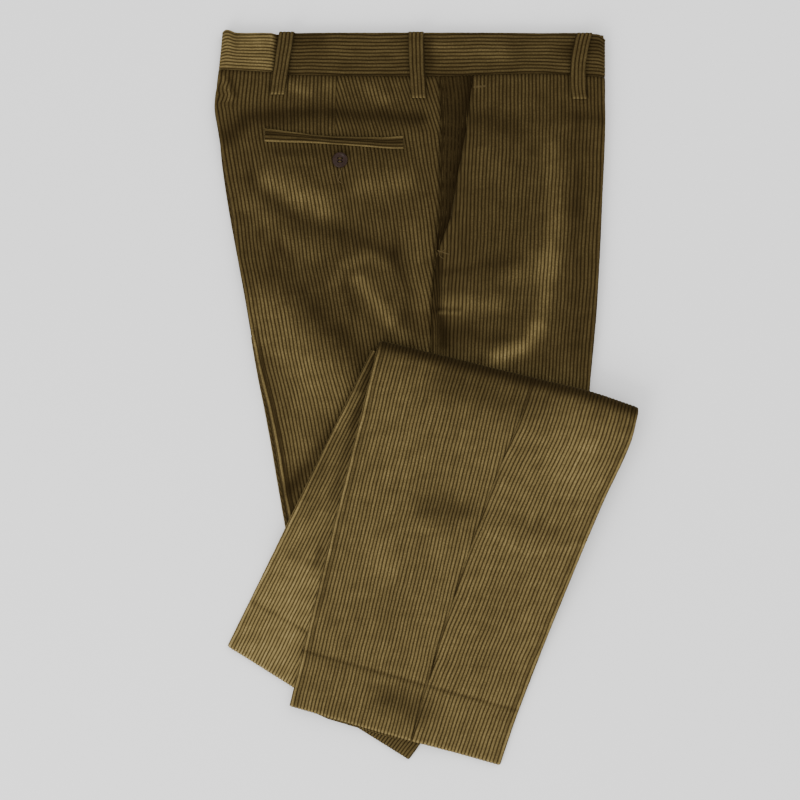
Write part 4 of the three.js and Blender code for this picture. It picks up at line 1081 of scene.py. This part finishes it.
def left_leg_panel(pitch):
    """The left leg's back panel, from its crease to the inseam under the top leg."""
    c = Columns(float(left_seam(1)), pitch)
    first = narrowed_to(c.distance, left_seam, 1.0, LEFT_START)
    first = np.minimum(first, 0.96)[:, None]
    flat = np.concatenate([np.linspace(0, HEM_ROWS[0], 96 - len(HEM_ROWS) + 1), HEM_ROWS[1:]])
    a = first + (1 - first) * flat[None, :]
    away = c.inward()
    x, y = LEFT_LEG.place(a, away / LEFT_LEG.width(a))
    calm = smooth((1 - a) / 0.06)
    z = left_leg_height(x, y) + folds(LEFT_FOLDS, "rise", x, y) * calm
    z = z - hem_turn(a) - HEM_DENT * hem_line(a)
    z = z + crease_down(c.turn)[:, None]
    nap = NAP_AND_PAINTED_LIGHT["left_leg"] * np.maximum(LEAST_PAINTED_LIGHT, 1 + folds(LEFT_FOLDS, "nap", x, y))
    # Painted shade in the hem's dented row of stitches; darker towards the leg's upper end.
    nap = nap * (1 - 0.35 * hem_line(a)) * (0.4 + 0.6 * smooth((a - 0.1) / 0.75))
    # Painted light on the pressed crease, and a painted highlight along the hem's folded edge.
    nap = nap * (1 + 0.6 * pressed_edge(away) + 0.3 * smooth((a - 0.992) / 0.005))
    return [(np.stack([x, y, z], -1), c.wale, nap)]


def left_corner(pitch):
    """The corner of the left leg's front panel that shows at the hem."""
    c = Columns(CORNER_WIDTH, pitch)
    a = CORNER_FROM + (1 - CORNER_FROM) * np.linspace(0, 1, 30)[None, :] + 0 * c.turn[:, None]
    x, y = LEFT_LEG.place(a, 1 - c.inward() / LEFT_LEG.width(a))
    z = CORNER_TOP + crease_down(c.turn)[:, None] - hem_turn(a)
    return [(np.stack([x, y, z], -1), c.wale, NAP_AND_PAINTED_LIGHT["corner"] + 0 * a)]


def tube(name, pitch, a, b, low, high, nap, inset=0.0, lengthwise=True, columns=40, turns=11):
    """A flat tube of cloth from the line of points `a` to the line `b`, turned round at both. Its wales run
    along it or round it."""
    half = (high - low) / 2
    depth = min(TUBE_TURN, half + 1)
    bend = np.linspace(0, math.pi, turns)[1:-1]
    flat = np.linspace(0, 1, columns)
    share = np.concatenate([flat, np.ones(len(bend)), flat[::-1], np.zeros(len(bend))])
    out = depth * np.concatenate([0 * flat, np.sin(bend), 0 * flat, -np.sin(bend)])
    up = np.concatenate([1 + 0 * flat, np.cos(bend), -1 + 0 * flat, -np.cos(bend)])
    size = np.linalg.norm(b - a, axis=1, keepdims=True)
    room = depth + inset
    run = room + (size - 2 * room) * share[:, None, None] + out[:, None, None]
    place = a + (b - a) / size * run
    z = np.broadcast_to((low + high) / 2 + half * up[:, None, None], (*place.shape[:2], 1))
    ground = np.concatenate([place, z], axis=2)
    step = np.linalg.norm(np.diff(ground, axis=0, append=ground[:1]), axis=2)
    round_it = np.concatenate([np.zeros((1, step.shape[1])), np.cumsum(step, axis=0)[:-1]])
    wale = (round_it if lengthwise else ground[:, :, 1]) / pitch
    piece = shell(name, ground, wale, nap, pitch, around=True, rise=0.0, cloth=min(CLOTH, half - 0.2))
    finish_cloth(piece)


# Waistband, belt loops and back pocket.
LOOPS = (
    ("belt_loop_back", (-139, -144, -149), 365, 303),
    ("belt_loop_side", (-10, -9, -7), 365, 299.5),
    ("belt_loop_front", (158.5, 152, 154), 364, 298.5),
)
WELTS = table(
    "x top slit bottom",
    (-161, 269, 263.5, 256), (-136, 265, 261.5, 255), (-109, 261.5, 259.5, 254.3),
    (-66, 260, 256.4, 251.5), (-36, 260, 254.3, 249), (-23, 261, 254.5, 248.8),
)


def waistband(pitch):
    """The right half of the waistband, turned round both creases and over its top edge."""
    roll = np.radians(np.linspace(-50, 90, 9)[:-1])
    flat_count = round(FINE * BAND_DEPTH / pitch)
    down = np.concatenate([np.zeros(len(roll)), np.linspace(0, 1, flat_count)])[:, None]
    angle = np.concatenate([roll, np.full(flat_count, QUARTER)])[:, None]
    over = -BAND_ROLL + BAND_ROLL * np.sin(angle)
    back = BAND_ROLL * np.cos(angle)
    turns = np.linspace(-QUARTER, QUARTER, 13)[:-1]
    left_turn = np.concatenate([turns, np.full(150 + len(turns), QUARTER)])[None, :]
    right_turn = left_turn[:, ::-1]
    flat = np.concatenate([np.zeros(len(turns)), np.linspace(0, 1, 150), np.ones(len(turns))])[None, :]
    guess = BAND_SHAPE["x"][0] + flat * (BAND_SHAPE["x"][-1] - BAND_SHAPE["x"][0])

    def y_at(x):
        top, bottom = band_top(x) - BAND_ROLL, band_bottom(x)
        return top + (bottom - top) * down + back

    left = seat_x(y_at(guess)) + CREASE_DEPTH
    right = front_x(y_at(guess)) - CREASE_DEPTH
    x = left + (right - left) * flat
    x = np.where(left_turn < QUARTER, left - CREASE_DEPTH * np.cos(left_turn), x)
    x = np.where(right_turn < QUARTER, right + CREASE_DEPTH * np.cos(right_turn), x)
    turn = np.minimum(left_turn, right_turn)
    y = y_at(x)
    facing_up = np.maximum(0, np.sin(turn))
    low_edge = WELL * bump((1 - down) * BAND_DEPTH, 1.8)
    z = BAND_TOP + crease_down(turn, BAND_HALF) + (over - low_edge) * facing_up
    z = z + folds(BAND_FOLDS, "rise", x, y) * facing_up
    over_top = (np.degrees(roll) - 90) * BAND_ROLL / DEGREES
    wale = np.concatenate([over_top, np.linspace(0, BAND_DEPTH, flat_count)]) / pitch
    # Painted light on the left end, which slopes towards the key lamp.
    light = NAP_AND_PAINTED_LIGHT["band"] + (NAP_AND_PAINTED_LIGHT["band_left"] - NAP_AND_PAINTED_LIGHT["band"]) * smooth((-150 - x) / 5)
    nap = light * np.maximum(0.2, 1 + folds(BAND_FOLDS, "nap", x, y))
    # Painted shade along the band's lower edge, at its seam.
    nap = nap * (1 - 0.4 * bump((1 - down) * BAND_DEPTH, 2))
    return [(np.stack([x, y, z], -1), wale, nap)]


def belt_loop(pitch, across, top_y, low_y):
    """A narrow folded strip on the waistband, a little arched."""
    top_x, mid_x, low_x = across
    off = np.linspace(-LOOP_WIDTH / 2, LOOP_WIDTH / 2, 33)[:, None]
    t = np.linspace(0, 1, 44)[None, :]
    x = top_x + (low_x - top_x) * t + t * (1 - t) * (4 * mid_x - 2 * top_x - 2 * low_x) + off
    y = top_y + (low_y - top_y) * t + 0 * off
    edge = np.clip((np.abs(off) - LOOP_WIDTH / 2) / 1.6 + 1, 0, 1)
    high = top_y - low_y
    tip = np.clip(1 - t * high / 2.2, 0, 1) + np.clip(1 - (1 - t) * high / 2.0, 0, 1)
    z = LOOP_TOP + 0.8 * np.sin(math.pi * t) - 1.1 * rounded(edge) - 1.3 * rounded(tip)
    wale = (off[:, 0] + LOOP_WIDTH / 2) / pitch
    # Painted light at the loop's lower end and painted shade on its turned sides.
    nap = NAP_AND_PAINTED_LIGHT["loop"] * (1 + 1.2 * smooth((t - 0.965) / 0.03)) * (1 - 0.3 * edge) + 0 * y
    return [(np.stack([x, y, z], -1), wale, nap)]


def welt(pitch, high, low, shift):
    """One of the two narrow strips of the back pocket."""
    x = np.linspace(WELTS["x"][0], WELTS["x"][-1], 90)[None, :]
    share = np.linspace(0, 1, 17)[:, None]
    top, bottom = curve(WELTS, "x", high)(x), curve(WELTS, "x", low)(x)
    y = top + (bottom - top) * share + shift
    edge = np.abs(2 * share - 1)
    ends = np.clip(1 - (x - x[0, 0]) / 2, 0, 1) + np.clip(1 - (x[0, -1] - x) / 2, 0, 1)
    z = WELT_TOP - 1.1 * rounded(edge, 0.96) - 0.7 * ends + 0 * y
    wale = share[:, 0] * WELT_WIDTH / pitch
    outer = share if shift > 0 else 1 - share
    # Painted highlight along the welt's outer edge, and painted shade towards the slit.
    nap = NAP_AND_PAINTED_LIGHT["welt"] * (1 + 1.4 * bump(outer - 0.12, 0.14)) + 0 * x
    nap = nap * (1 - 0.75 * smooth((outer - 0.65) / 0.3))
    return [(np.stack([x + 0 * y, y, z], -1), wale, nap)]


def under_front_x(y):
    """Front edge of the lower layers, rounded in at the hidden fold."""
    return front_x(y) - 1.0 - 8.0 * smooth((-140 - y) / 38) - 1.0 * smooth((20 - y) / 20)


def inner_seat_x(y):
    return seat_x(y) + 4.5


def inner_front_x(y):
    return under_front_x(y) - 4.5


def band_seat_x(y):
    return seat_x(y) + 1.0


def band_front_x(y):
    return front_x(y) - 0.5


def right_peek(share):
    """How far the top leg's under layer shows beyond its hem."""
    return -2.5 + 5.5 * smooth((share - 0.08) / 0.1) * smooth((0.68 - share) / 0.12)


def in_material(mesh, name):
    """A mesh with one of the trousers' materials."""
    mesh.materials.clear()
    mesh.materials.append(the_material(name))
    return mesh


def thread(name, points, radius):
    """A length of thread along points in millimetres."""
    path = bpy.data.curves.new(name, "CURVE")
    path.dimensions = "3D"
    path.bevel_depth = radius * MM
    path.bevel_resolution = 2
    path.use_fill_caps = True
    path.resolution_u = 6
    spline = path.splines.new("BEZIER")
    spline.bezier_points.add(len(points) - 1)
    for knot, point in zip(spline.bezier_points, points):
        knot.co = Vector(point) * MM
        knot.handle_left_type = knot.handle_right_type = "AUTO"
    bare = linked(name, path)
    mesh = final_mesh(bare, name)
    bpy.data.objects.remove(bare)
    piece = linked(name, in_material(mesh, "sewing_thread"))
    smooth_faces(piece)
    return piece


def as_thread(piece):
    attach(piece, "root")


def stitches(name, lines, spacing, length, thickness):
    """Stitches along lines of points in millimetres."""
    points, edges = [], []
    for line in lines:
        first = len(points)
        points.extend(np.array(line) * MM)
        edges.extend((first + k, first + k + 1) for k in range(len(line) - 1))
    mesh = bpy.data.meshes.new(name)
    mesh.from_pydata([tuple(p) for p in points], edges, [])
    piece = linked(name, mesh)
    with_tree(
        piece,
        the_tree(stitch_row_tree),
        {
            "Spacing": spacing * MM,
            "Length": length * MM,
            "Thickness": thickness * MM,
            "Material": the_material("sewing_thread"),
        },
    )
    smooth_faces(piece, 180.0)
    as_thread(piece)


def on_right_leg(x, y):
    """Height of the top leg's cloth at a place seen from above."""
    along, outside = over_right_leg(x, y)
    share = -outside / RIGHT_LEG.width(along)
    return right_leg_height(along, share) + folds(LOWER_FOLDS, "rise", x, y)


HEM_CATCH = {
    "right": ((-123, -251), (-67, -267), (-39, -280), (-26, -279), (3, -287), (30, -295), (88, -314)),
    "left": ((-176, -211), (-150, -225), (-125, -238)),
}


def hem_catches(name, height):
    """Points along a hem's row of stitches, just on the crests of the wales."""
    knots = np.array(HEM_CATCH[name], float)
    t = np.linspace(0, len(knots) - 1, 60)
    x = np.interp(t, np.arange(len(knots)), knots[:, 0])
    y = np.interp(t, np.arange(len(knots)), knots[:, 1])
    return np.stack([x, y, height(x, y) + 0.45], -1)


def tack(x, y, high, z, across=1.2):
    """Rows of short stitches that make a bar tack."""
    return [[(x + off, y, z), (x + off, y - high, z)] for off in np.linspace(-across / 2, across / 2, 3)]


BUTTON_PROFILE = (
    (0, 0), (6.0, 0), (6.9, 0.25), (7.5, 0.85), (7.75, 1.7), (7.6, 2.35), (7.1, 2.8), (6.5, 2.98),
    (5.9, 2.85), (5.4, 2.45), (4.8, 2.1), (4.0, 1.98), (2.0, 1.9), (0, 1.88),
)
BUTTON_SIDES = 72
HOLES = ((-1, -1), (-1, 1), (1, -1), (1, 1))
HOLE_OFF = 1.6
HOLE_RADIUS = 1.15


def mesh_of(bm, name):
    """The mesh that a bmesh holds."""
    mesh = bpy.data.meshes.new(name)
    bm.to_mesh(mesh)
    bm.free()
    return mesh


def turned_button():
    """The dished button with its four holes. Gives its middle and its top in millimetres."""
    low, high = (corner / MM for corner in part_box("back_pocket_button"))
    middle = (low + high) / 2
    bm = bmesh.new()
    rings = []
    for r, z in BUTTON_PROFILE:
        turns = np.linspace(0, 2 * math.pi, BUTTON_SIDES if r else 1, endpoint=False)
        points = [(middle.x + r * math.cos(t), middle.y + r * math.sin(t), low.z + z) for t in turns]
        rings.append([bm.verts.new(Vector(point) * MM) for point in points])
    for inner, outer in zip(rings, rings[1:]):
        for k in range(BUTTON_SIDES):
            a, b = inner[k % len(inner)], inner[(k + 1) % len(inner)]
            c, d = outer[(k + 1) % len(outer)], outer[k % len(outer)]
            bm.faces.new(list(dict.fromkeys((a, d, c, b))))
    bmesh.ops.recalc_face_normals(bm, faces=bm.faces)
    holes = bmesh.new()
    radius = HOLE_RADIUS * MM
    for sx, sy in HOLES:
        made = bmesh.ops.create_cone(
            holes, cap_ends=True, segments=20, radius1=radius, radius2=radius, depth=12 * MM
        )
        centre = Vector((middle.x + sx * HOLE_OFF, middle.y + sy * HOLE_OFF, middle.z)) * MM
        bmesh.ops.translate(holes, verts=made["verts"], vec=centre)
    button = linked("pocket_button", mesh_of(bm, "button_disc"))
    cutter = linked("button_holes", mesh_of(holes, "button_holes"))
    cut = button.modifiers.new("holes", "BOOLEAN")
    cut.operation, cut.solver, cut.object = "DIFFERENCE", "EXACT", cutter
    mesh = final_mesh(button, "pocket_button")
    button.modifiers.clear()
    button.data = in_material(mesh, "button_resin")
    bpy.data.objects.remove(cutter)
    smooth_faces(button, 40)
    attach(button, "root")
    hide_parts("back_pocket_button")
    return middle, high.z


COLOUR = {"subtype": "COLOR", "size": 3, "min": 0, "max": 1}


class TrousersSizes(bpy.types.PropertyGroup):
    """Sizes of the cloth that a user would change."""

    wale_pitch: FloatProperty(
        name="Wale pitch", description="From wale to wale", default=3.6 * MM, min=0.001, unit="LENGTH"
    )
    wale_rise: FloatProperty(
        name="Wale height", description="From groove to crest", default=0.75 * MM, min=0.0, unit="LENGTH"
    )
    wale_fullness: FloatProperty(
        name="Wale fullness", description="Low for narrow grooves", default=0.55, min=0.1, max=2.0
    )
    unevenness: FloatProperty(
        name="Unevenness", description="How much the wales' height varies", default=0.5, min=0.0, max=2.0
    )
    seed: IntProperty(name="Seed", description="Start of the unevenness", default=4)


class TrousersColours(bpy.types.PropertyGroup):
    """Colours of the trousers and of the floor."""

    # The cloth's colours run from painted deep shade through painted soft shade and the lit cloth with its painted
    # sheen to a painted highlight on the crests.
    nap_dark: FloatVectorProperty(
        name="Nap, dark", description="Cloth in deep shade", default=(0.0075, 0.0041, 0.0010), **COLOUR
    )
    nap_deep: FloatVectorProperty(
        name="Nap, deep", description="Cloth in soft shade", default=(0.0345, 0.0232, 0.0078), **COLOUR
    )
    nap_light: FloatVectorProperty(
        name="Nap, light", description="Cloth where its nap shines", default=(0.200, 0.148, 0.057), **COLOUR
    )
    nap_bright: FloatVectorProperty(
        name="Nap, bright", description="Cloth on the brightest crests", default=(0.34, 0.27, 0.13), **COLOUR
    )
    button: FloatVectorProperty(
        name="Button", description="Resin of the button", default=(0.022, 0.0115, 0.008), **COLOUR
    )
    thread: FloatVectorProperty(
        name="Thread", description="Sewing thread", default=(0.110, 0.078, 0.032), **COLOUR
    )
    floor: FloatVectorProperty(
        name="Floor", description="The pale floor", default=(0.93, 0.93, 0.93), **COLOUR
    )


def pitch_of(context, share):
    return context.scene.trousers_sizes.wale_pitch / MM * share


class TROUSERS_OT_upper(bpy.types.Operator):
    """Back and front panels of the upper stretch, the pocket's facing and the left leg's edge"""

    bl_idname = "trousers.upper"
    bl_label = "Upper panels"

    def execute(self, context):
        pitch = pitch_of(context, 1.014)
        laid_cloth("right_back_panel", back_panel(pitch), pitch, ("right_back_upper",))
        laid_cloth("right_front_panel", front_panel(pitch), pitch, ("right_front_upper",))
        laid_cloth("pocket_facing", pocket_facing(pitch), pitch, ("side_pocket_facing",))
        laid_cloth("left_back_edge", left_edge(pitch), pitch, ("left_back_upper",))
        return {"FINISHED"}


class TROUSERS_OT_lower(bpy.types.Operator):
    """Both legs below the fold, with the under layers that show at the hems"""

    bl_idname = "trousers.lower"
    bl_label = "Lower legs"

    def execute(self, context):
        back, front, left = (pitch_of(context, share) for share in (0.97, 1.02, 0.905))
        laid_cloth("right_back_leg", lower_panel(back, True, 0.08), back, ("right_back_lower",))
        laid_cloth("right_front_leg", lower_panel(front, False, 0.12), front, ("right_front_lower",))
        laid_cloth("left_back_leg", left_leg_panel(left), left, ("left_back_lower",))
        laid_cloth("left_front_corner", left_corner(left), left, ("left_front_lower",))
        right = (RIGHT_LEG, lambda a, s, x, y: right_leg_height(a, s), 0.03, right_peek)
        left = (LEFT_LEG, lambda a, s, x, y: left_leg_height(x, y), 0.06, lambda s: -1.0 + 0 * s)
        underside("right_leg_under", back, *right)
        underside("left_leg_under", back, *left)
        return {"FINISHED"}


class TROUSERS_OT_layers(bpy.types.Operator):
    """The layers that the folds hide, each a flat tube"""

    bl_idname = "trousers.layers"
    bl_label = "Hidden layers"

    def execute(self, context):
        pitch = pitch_of(context, 1.0)
        for name, top, bottom, count, left, right, low, high, in_band in (
            ("left_leg_layer", 321, -178, 60, left_leg_x, under_front_x, 0.05, LEFT_LEG_TOP, False),
            ("inner_layer", 358, -178, 50, inner_seat_x, inner_front_x, 5.0, 7.9, False),
            ("left_waistband_layer", 363, 322, 12, band_seat_x, band_front_x, 0.05, 4.6, True),
        ):
            y = np.linspace(top, bottom, count)
            edges = (np.stack([edge(y), y], 1) for edge in (left, right))
            nap = NAP_AND_PAINTED_LIGHT["band" if in_band else "layers"]
            tube(name, pitch, *edges, low, high, nap, lengthwise=not in_band)
        for name, low, high, inset in (
            ("middle_layer_low", 11.0, 13.3, 0.0),
            ("middle_layer_high", 13.5, 15.8, 1.2),
        ):
            edges = (np.linspace(*MIDDLE_EDGES[side], 40) for side in ("left", "right"))
            tube(name, pitch, *edges, low, high, NAP_AND_PAINTED_LIGHT["layers"], inset=inset, columns=60, turns=9)
        return {"FINISHED"}


class TROUSERS_OT_waist(bpy.types.Operator):
    """Waistband and belt loops"""

    bl_idname = "trousers.waist"
    bl_label = "Waistband and loops"

    def execute(self, context):
        pitch = pitch_of(context, 1.02)
        laid_cloth("waistband_cloth", waistband(pitch), pitch, ("waistband",))
        for name, across, top_y, low_y in LOOPS:
            made = belt_loop(LOOP_WIDTH / 4, across, top_y, low_y)
            laid_cloth(f"{name}_cloth", made, LOOP_WIDTH / 4, (name,))
        return {"FINISHED"}


class TROUSERS_OT_pocket(bpy.types.Operator):
    """Welts, button and thread of the back pocket"""

    bl_idname = "trousers.pocket"
    bl_label = "Back pocket"

    def execute(self, context):
        pitch = pitch_of(context, 0.9)
        for side, high, low, way in (("upper", "top", "slit", 1), ("lower", "slit", "bottom", -1)):
            made, stands_for = welt(pitch, high, low, way * GAP / 2), (f"back_pocket_{side}_welt",)
            laid_cloth(f"pocket_{side}_welt", made, pitch, stands_for)
        middle, top = turned_button()
        bars = []
        for side in (-HOLE_OFF, HOLE_OFF):
            for off in (-0.3, 0.3):
                y = middle.y + side + off
                ends = [(middle.x + sx * HOLE_OFF, y, top - 2.2) for sx in (-1, 1)]
                over = [(middle.x + sx * 0.9, y, top - 0.9) for sx in (-1, 1)]
                bars.append(thread("button_thread", [ends[0], over[0], over[1], ends[1]], 0.2))
        as_thread(joined("button_thread", bars))
        ground = UPPER_TOP + 1.0
        loose = (
            [(-90, 229.5, ground), (-89.5, 222, ground + 0.4), (-88, 216, ground)],
            [(-84.5, 229.5, ground), (-86, 222, ground + 0.3), (-88, 216, ground)],
            [(-88, 216.5, ground), (-86, 215, ground + 0.2), (-83.5, 213.5, ground)],
        )
        as_thread(joined("buttonhole_thread", [thread("loose", line, 0.3) for line in loose]))
        z = WELT_TOP - 0.7
        tacks = [*tack(-161.5, 269, 12.6, z), *tack(-23.0, 261, 12.2, z)]
        stitches("pocket_tacks", tacks, 0.75, 0.7, 0.35)
        return {"FINISHED"}


class TROUSERS_OT_sewing(bpy.types.Operator):
    """Catch stitches of the hems, and the tacks of the slanted pocket"""

    bl_idname = "trousers.sewing"
    bl_label = "Sewing"

    def execute(self, context):
        lines = [hem_catches("right", on_right_leg), hem_catches("left", left_leg_height)]
        stitches("hem_catches", lines, 8.5, 1.5, 0.45)
        z = UPPER_TOP + 1.0
        tacks = [[(48, 310 + off, z), (60, 311 + off, z)] for off in (-0.5, 0.2, 0.9)]
        tacks += [[(12, 146.5 + off, z), (23, 143 + off, z)] for off in (-0.5, 0.2)]
        stitches("side_pocket_tacks", tacks, 0.7, 1.1, 0.5)
        ends = (
            [(16, 145.5, z), (19, 148, z + 0.5), (20.5, 152, z + 0.2)],
            [(13, 145.5, z), (14, 141, z + 0.4), (17.5, 138.5, z + 0.1)],
        )
        as_thread(joined("pocket_loose_threads", [thread("loose", line, 0.22) for line in ends]))
        return {"FINISHED"}


LAMPS = (
    ("key", (-1.5, -1.9, 1.5), 1.6, 60.0),
    ("fill", (1.2, 1.4, 2.0), 2.2, 21.0),
)
WORLD_LIGHT = 1.25
FRAME_WIDTH = 0.8
FLOOR_REACH = 3.0
LOOKED_AT = (-0.026, -0.003, 0.012)


class TROUSERS_OT_stage(bpy.types.Operator):
    """Pale floor, soft light and the camera straight above"""

    bl_idname = "trousers.stage"
    bl_label = "Stage"

    def execute(self, context):
        scene = context.scene
        mesh = bpy.data.meshes.new("floor")
        corners = [(x * FLOOR_REACH, y * FLOOR_REACH, 0) for x, y in ((-1, -1), (1, -1), (1, 1), (-1, 1))]
        mesh.from_pydata(corners, [], [(0, 1, 2, 3)])
        linked("floor", in_material(mesh, "pale_floor"))
        middle = Vector(LOOKED_AT)
        for name, place, size, power in LAMPS:
            lamp = bpy.data.lights.new(name, "AREA")
            lamp.shape, lamp.size, lamp.energy = "SQUARE", size, power
            holder = linked(name, lamp)
            holder.location = place
            holder.rotation_euler = (middle - Vector(place)).to_track_quat("-Z", "Y").to_euler()
        world = bpy.data.worlds.new("studio")
        world.use_nodes = True
        background = world.node_tree.nodes["Background"]
        background.inputs["Color"].default_value = (1.0, 1.0, 1.0, 1.0)
        background.inputs["Strength"].default_value = WORLD_LIGHT
        scene.world = world
        eye = bpy.data.cameras.new("camera")
        eye.lens, eye.sensor_width = 100.0, 36.0
        eye.dof.use_dof = False
        scene.camera = linked("camera", eye)
        scene.camera.location = middle + Vector((0, 0, FRAME_WIDTH * eye.lens / eye.sensor_width))
        return {"FINISHED"}


class TROUSERS_PT_panel(bpy.types.Panel):
    """The trousers' sizes, colours and pieces"""

    bl_label = "Trousers"
    bl_idname = "TROUSERS_PT_panel"
    bl_space_type = "VIEW_3D"
    bl_region_type = "UI"
    bl_category = "Trousers"

    def draw(self, context):
        for group in (context.scene.trousers_sizes, context.scene.trousers_colours):
            box = self.layout.box()
            for name in type(group).__annotations__:
                box.prop(group, name)
        for operator in OPERATORS:
            self.layout.operator(operator.bl_idname)


OPERATORS = (
    TROUSERS_OT_stage,
    TROUSERS_OT_layers,
    TROUSERS_OT_upper,
    TROUSERS_OT_lower,
    TROUSERS_OT_waist,
    TROUSERS_OT_pocket,
    TROUSERS_OT_sewing,
)
CLASSES = (TrousersSizes, TrousersColours, *OPERATORS, TROUSERS_PT_panel)


def register():
    for each in CLASSES:
        bpy.utils.register_class(each)
    bpy.types.Scene.trousers_sizes = PointerProperty(type=TrousersSizes)
    bpy.types.Scene.trousers_colours = PointerProperty(type=TrousersColours)


def unregister():
    del bpy.types.Scene.trousers_colours
    del bpy.types.Scene.trousers_sizes
    for each in reversed(CLASSES):
        bpy.utils.unregister_class(each)


def main():
    register()
    bpy.ops.trousers.stage()
    bpy.ops.trousers.layers()
    bpy.ops.trousers.upper()
    bpy.ops.trousers.lower()
    bpy.ops.trousers.waist()
    bpy.ops.trousers.pocket()
    bpy.ops.trousers.sewing()


if __name__ == "__main__":
    main()
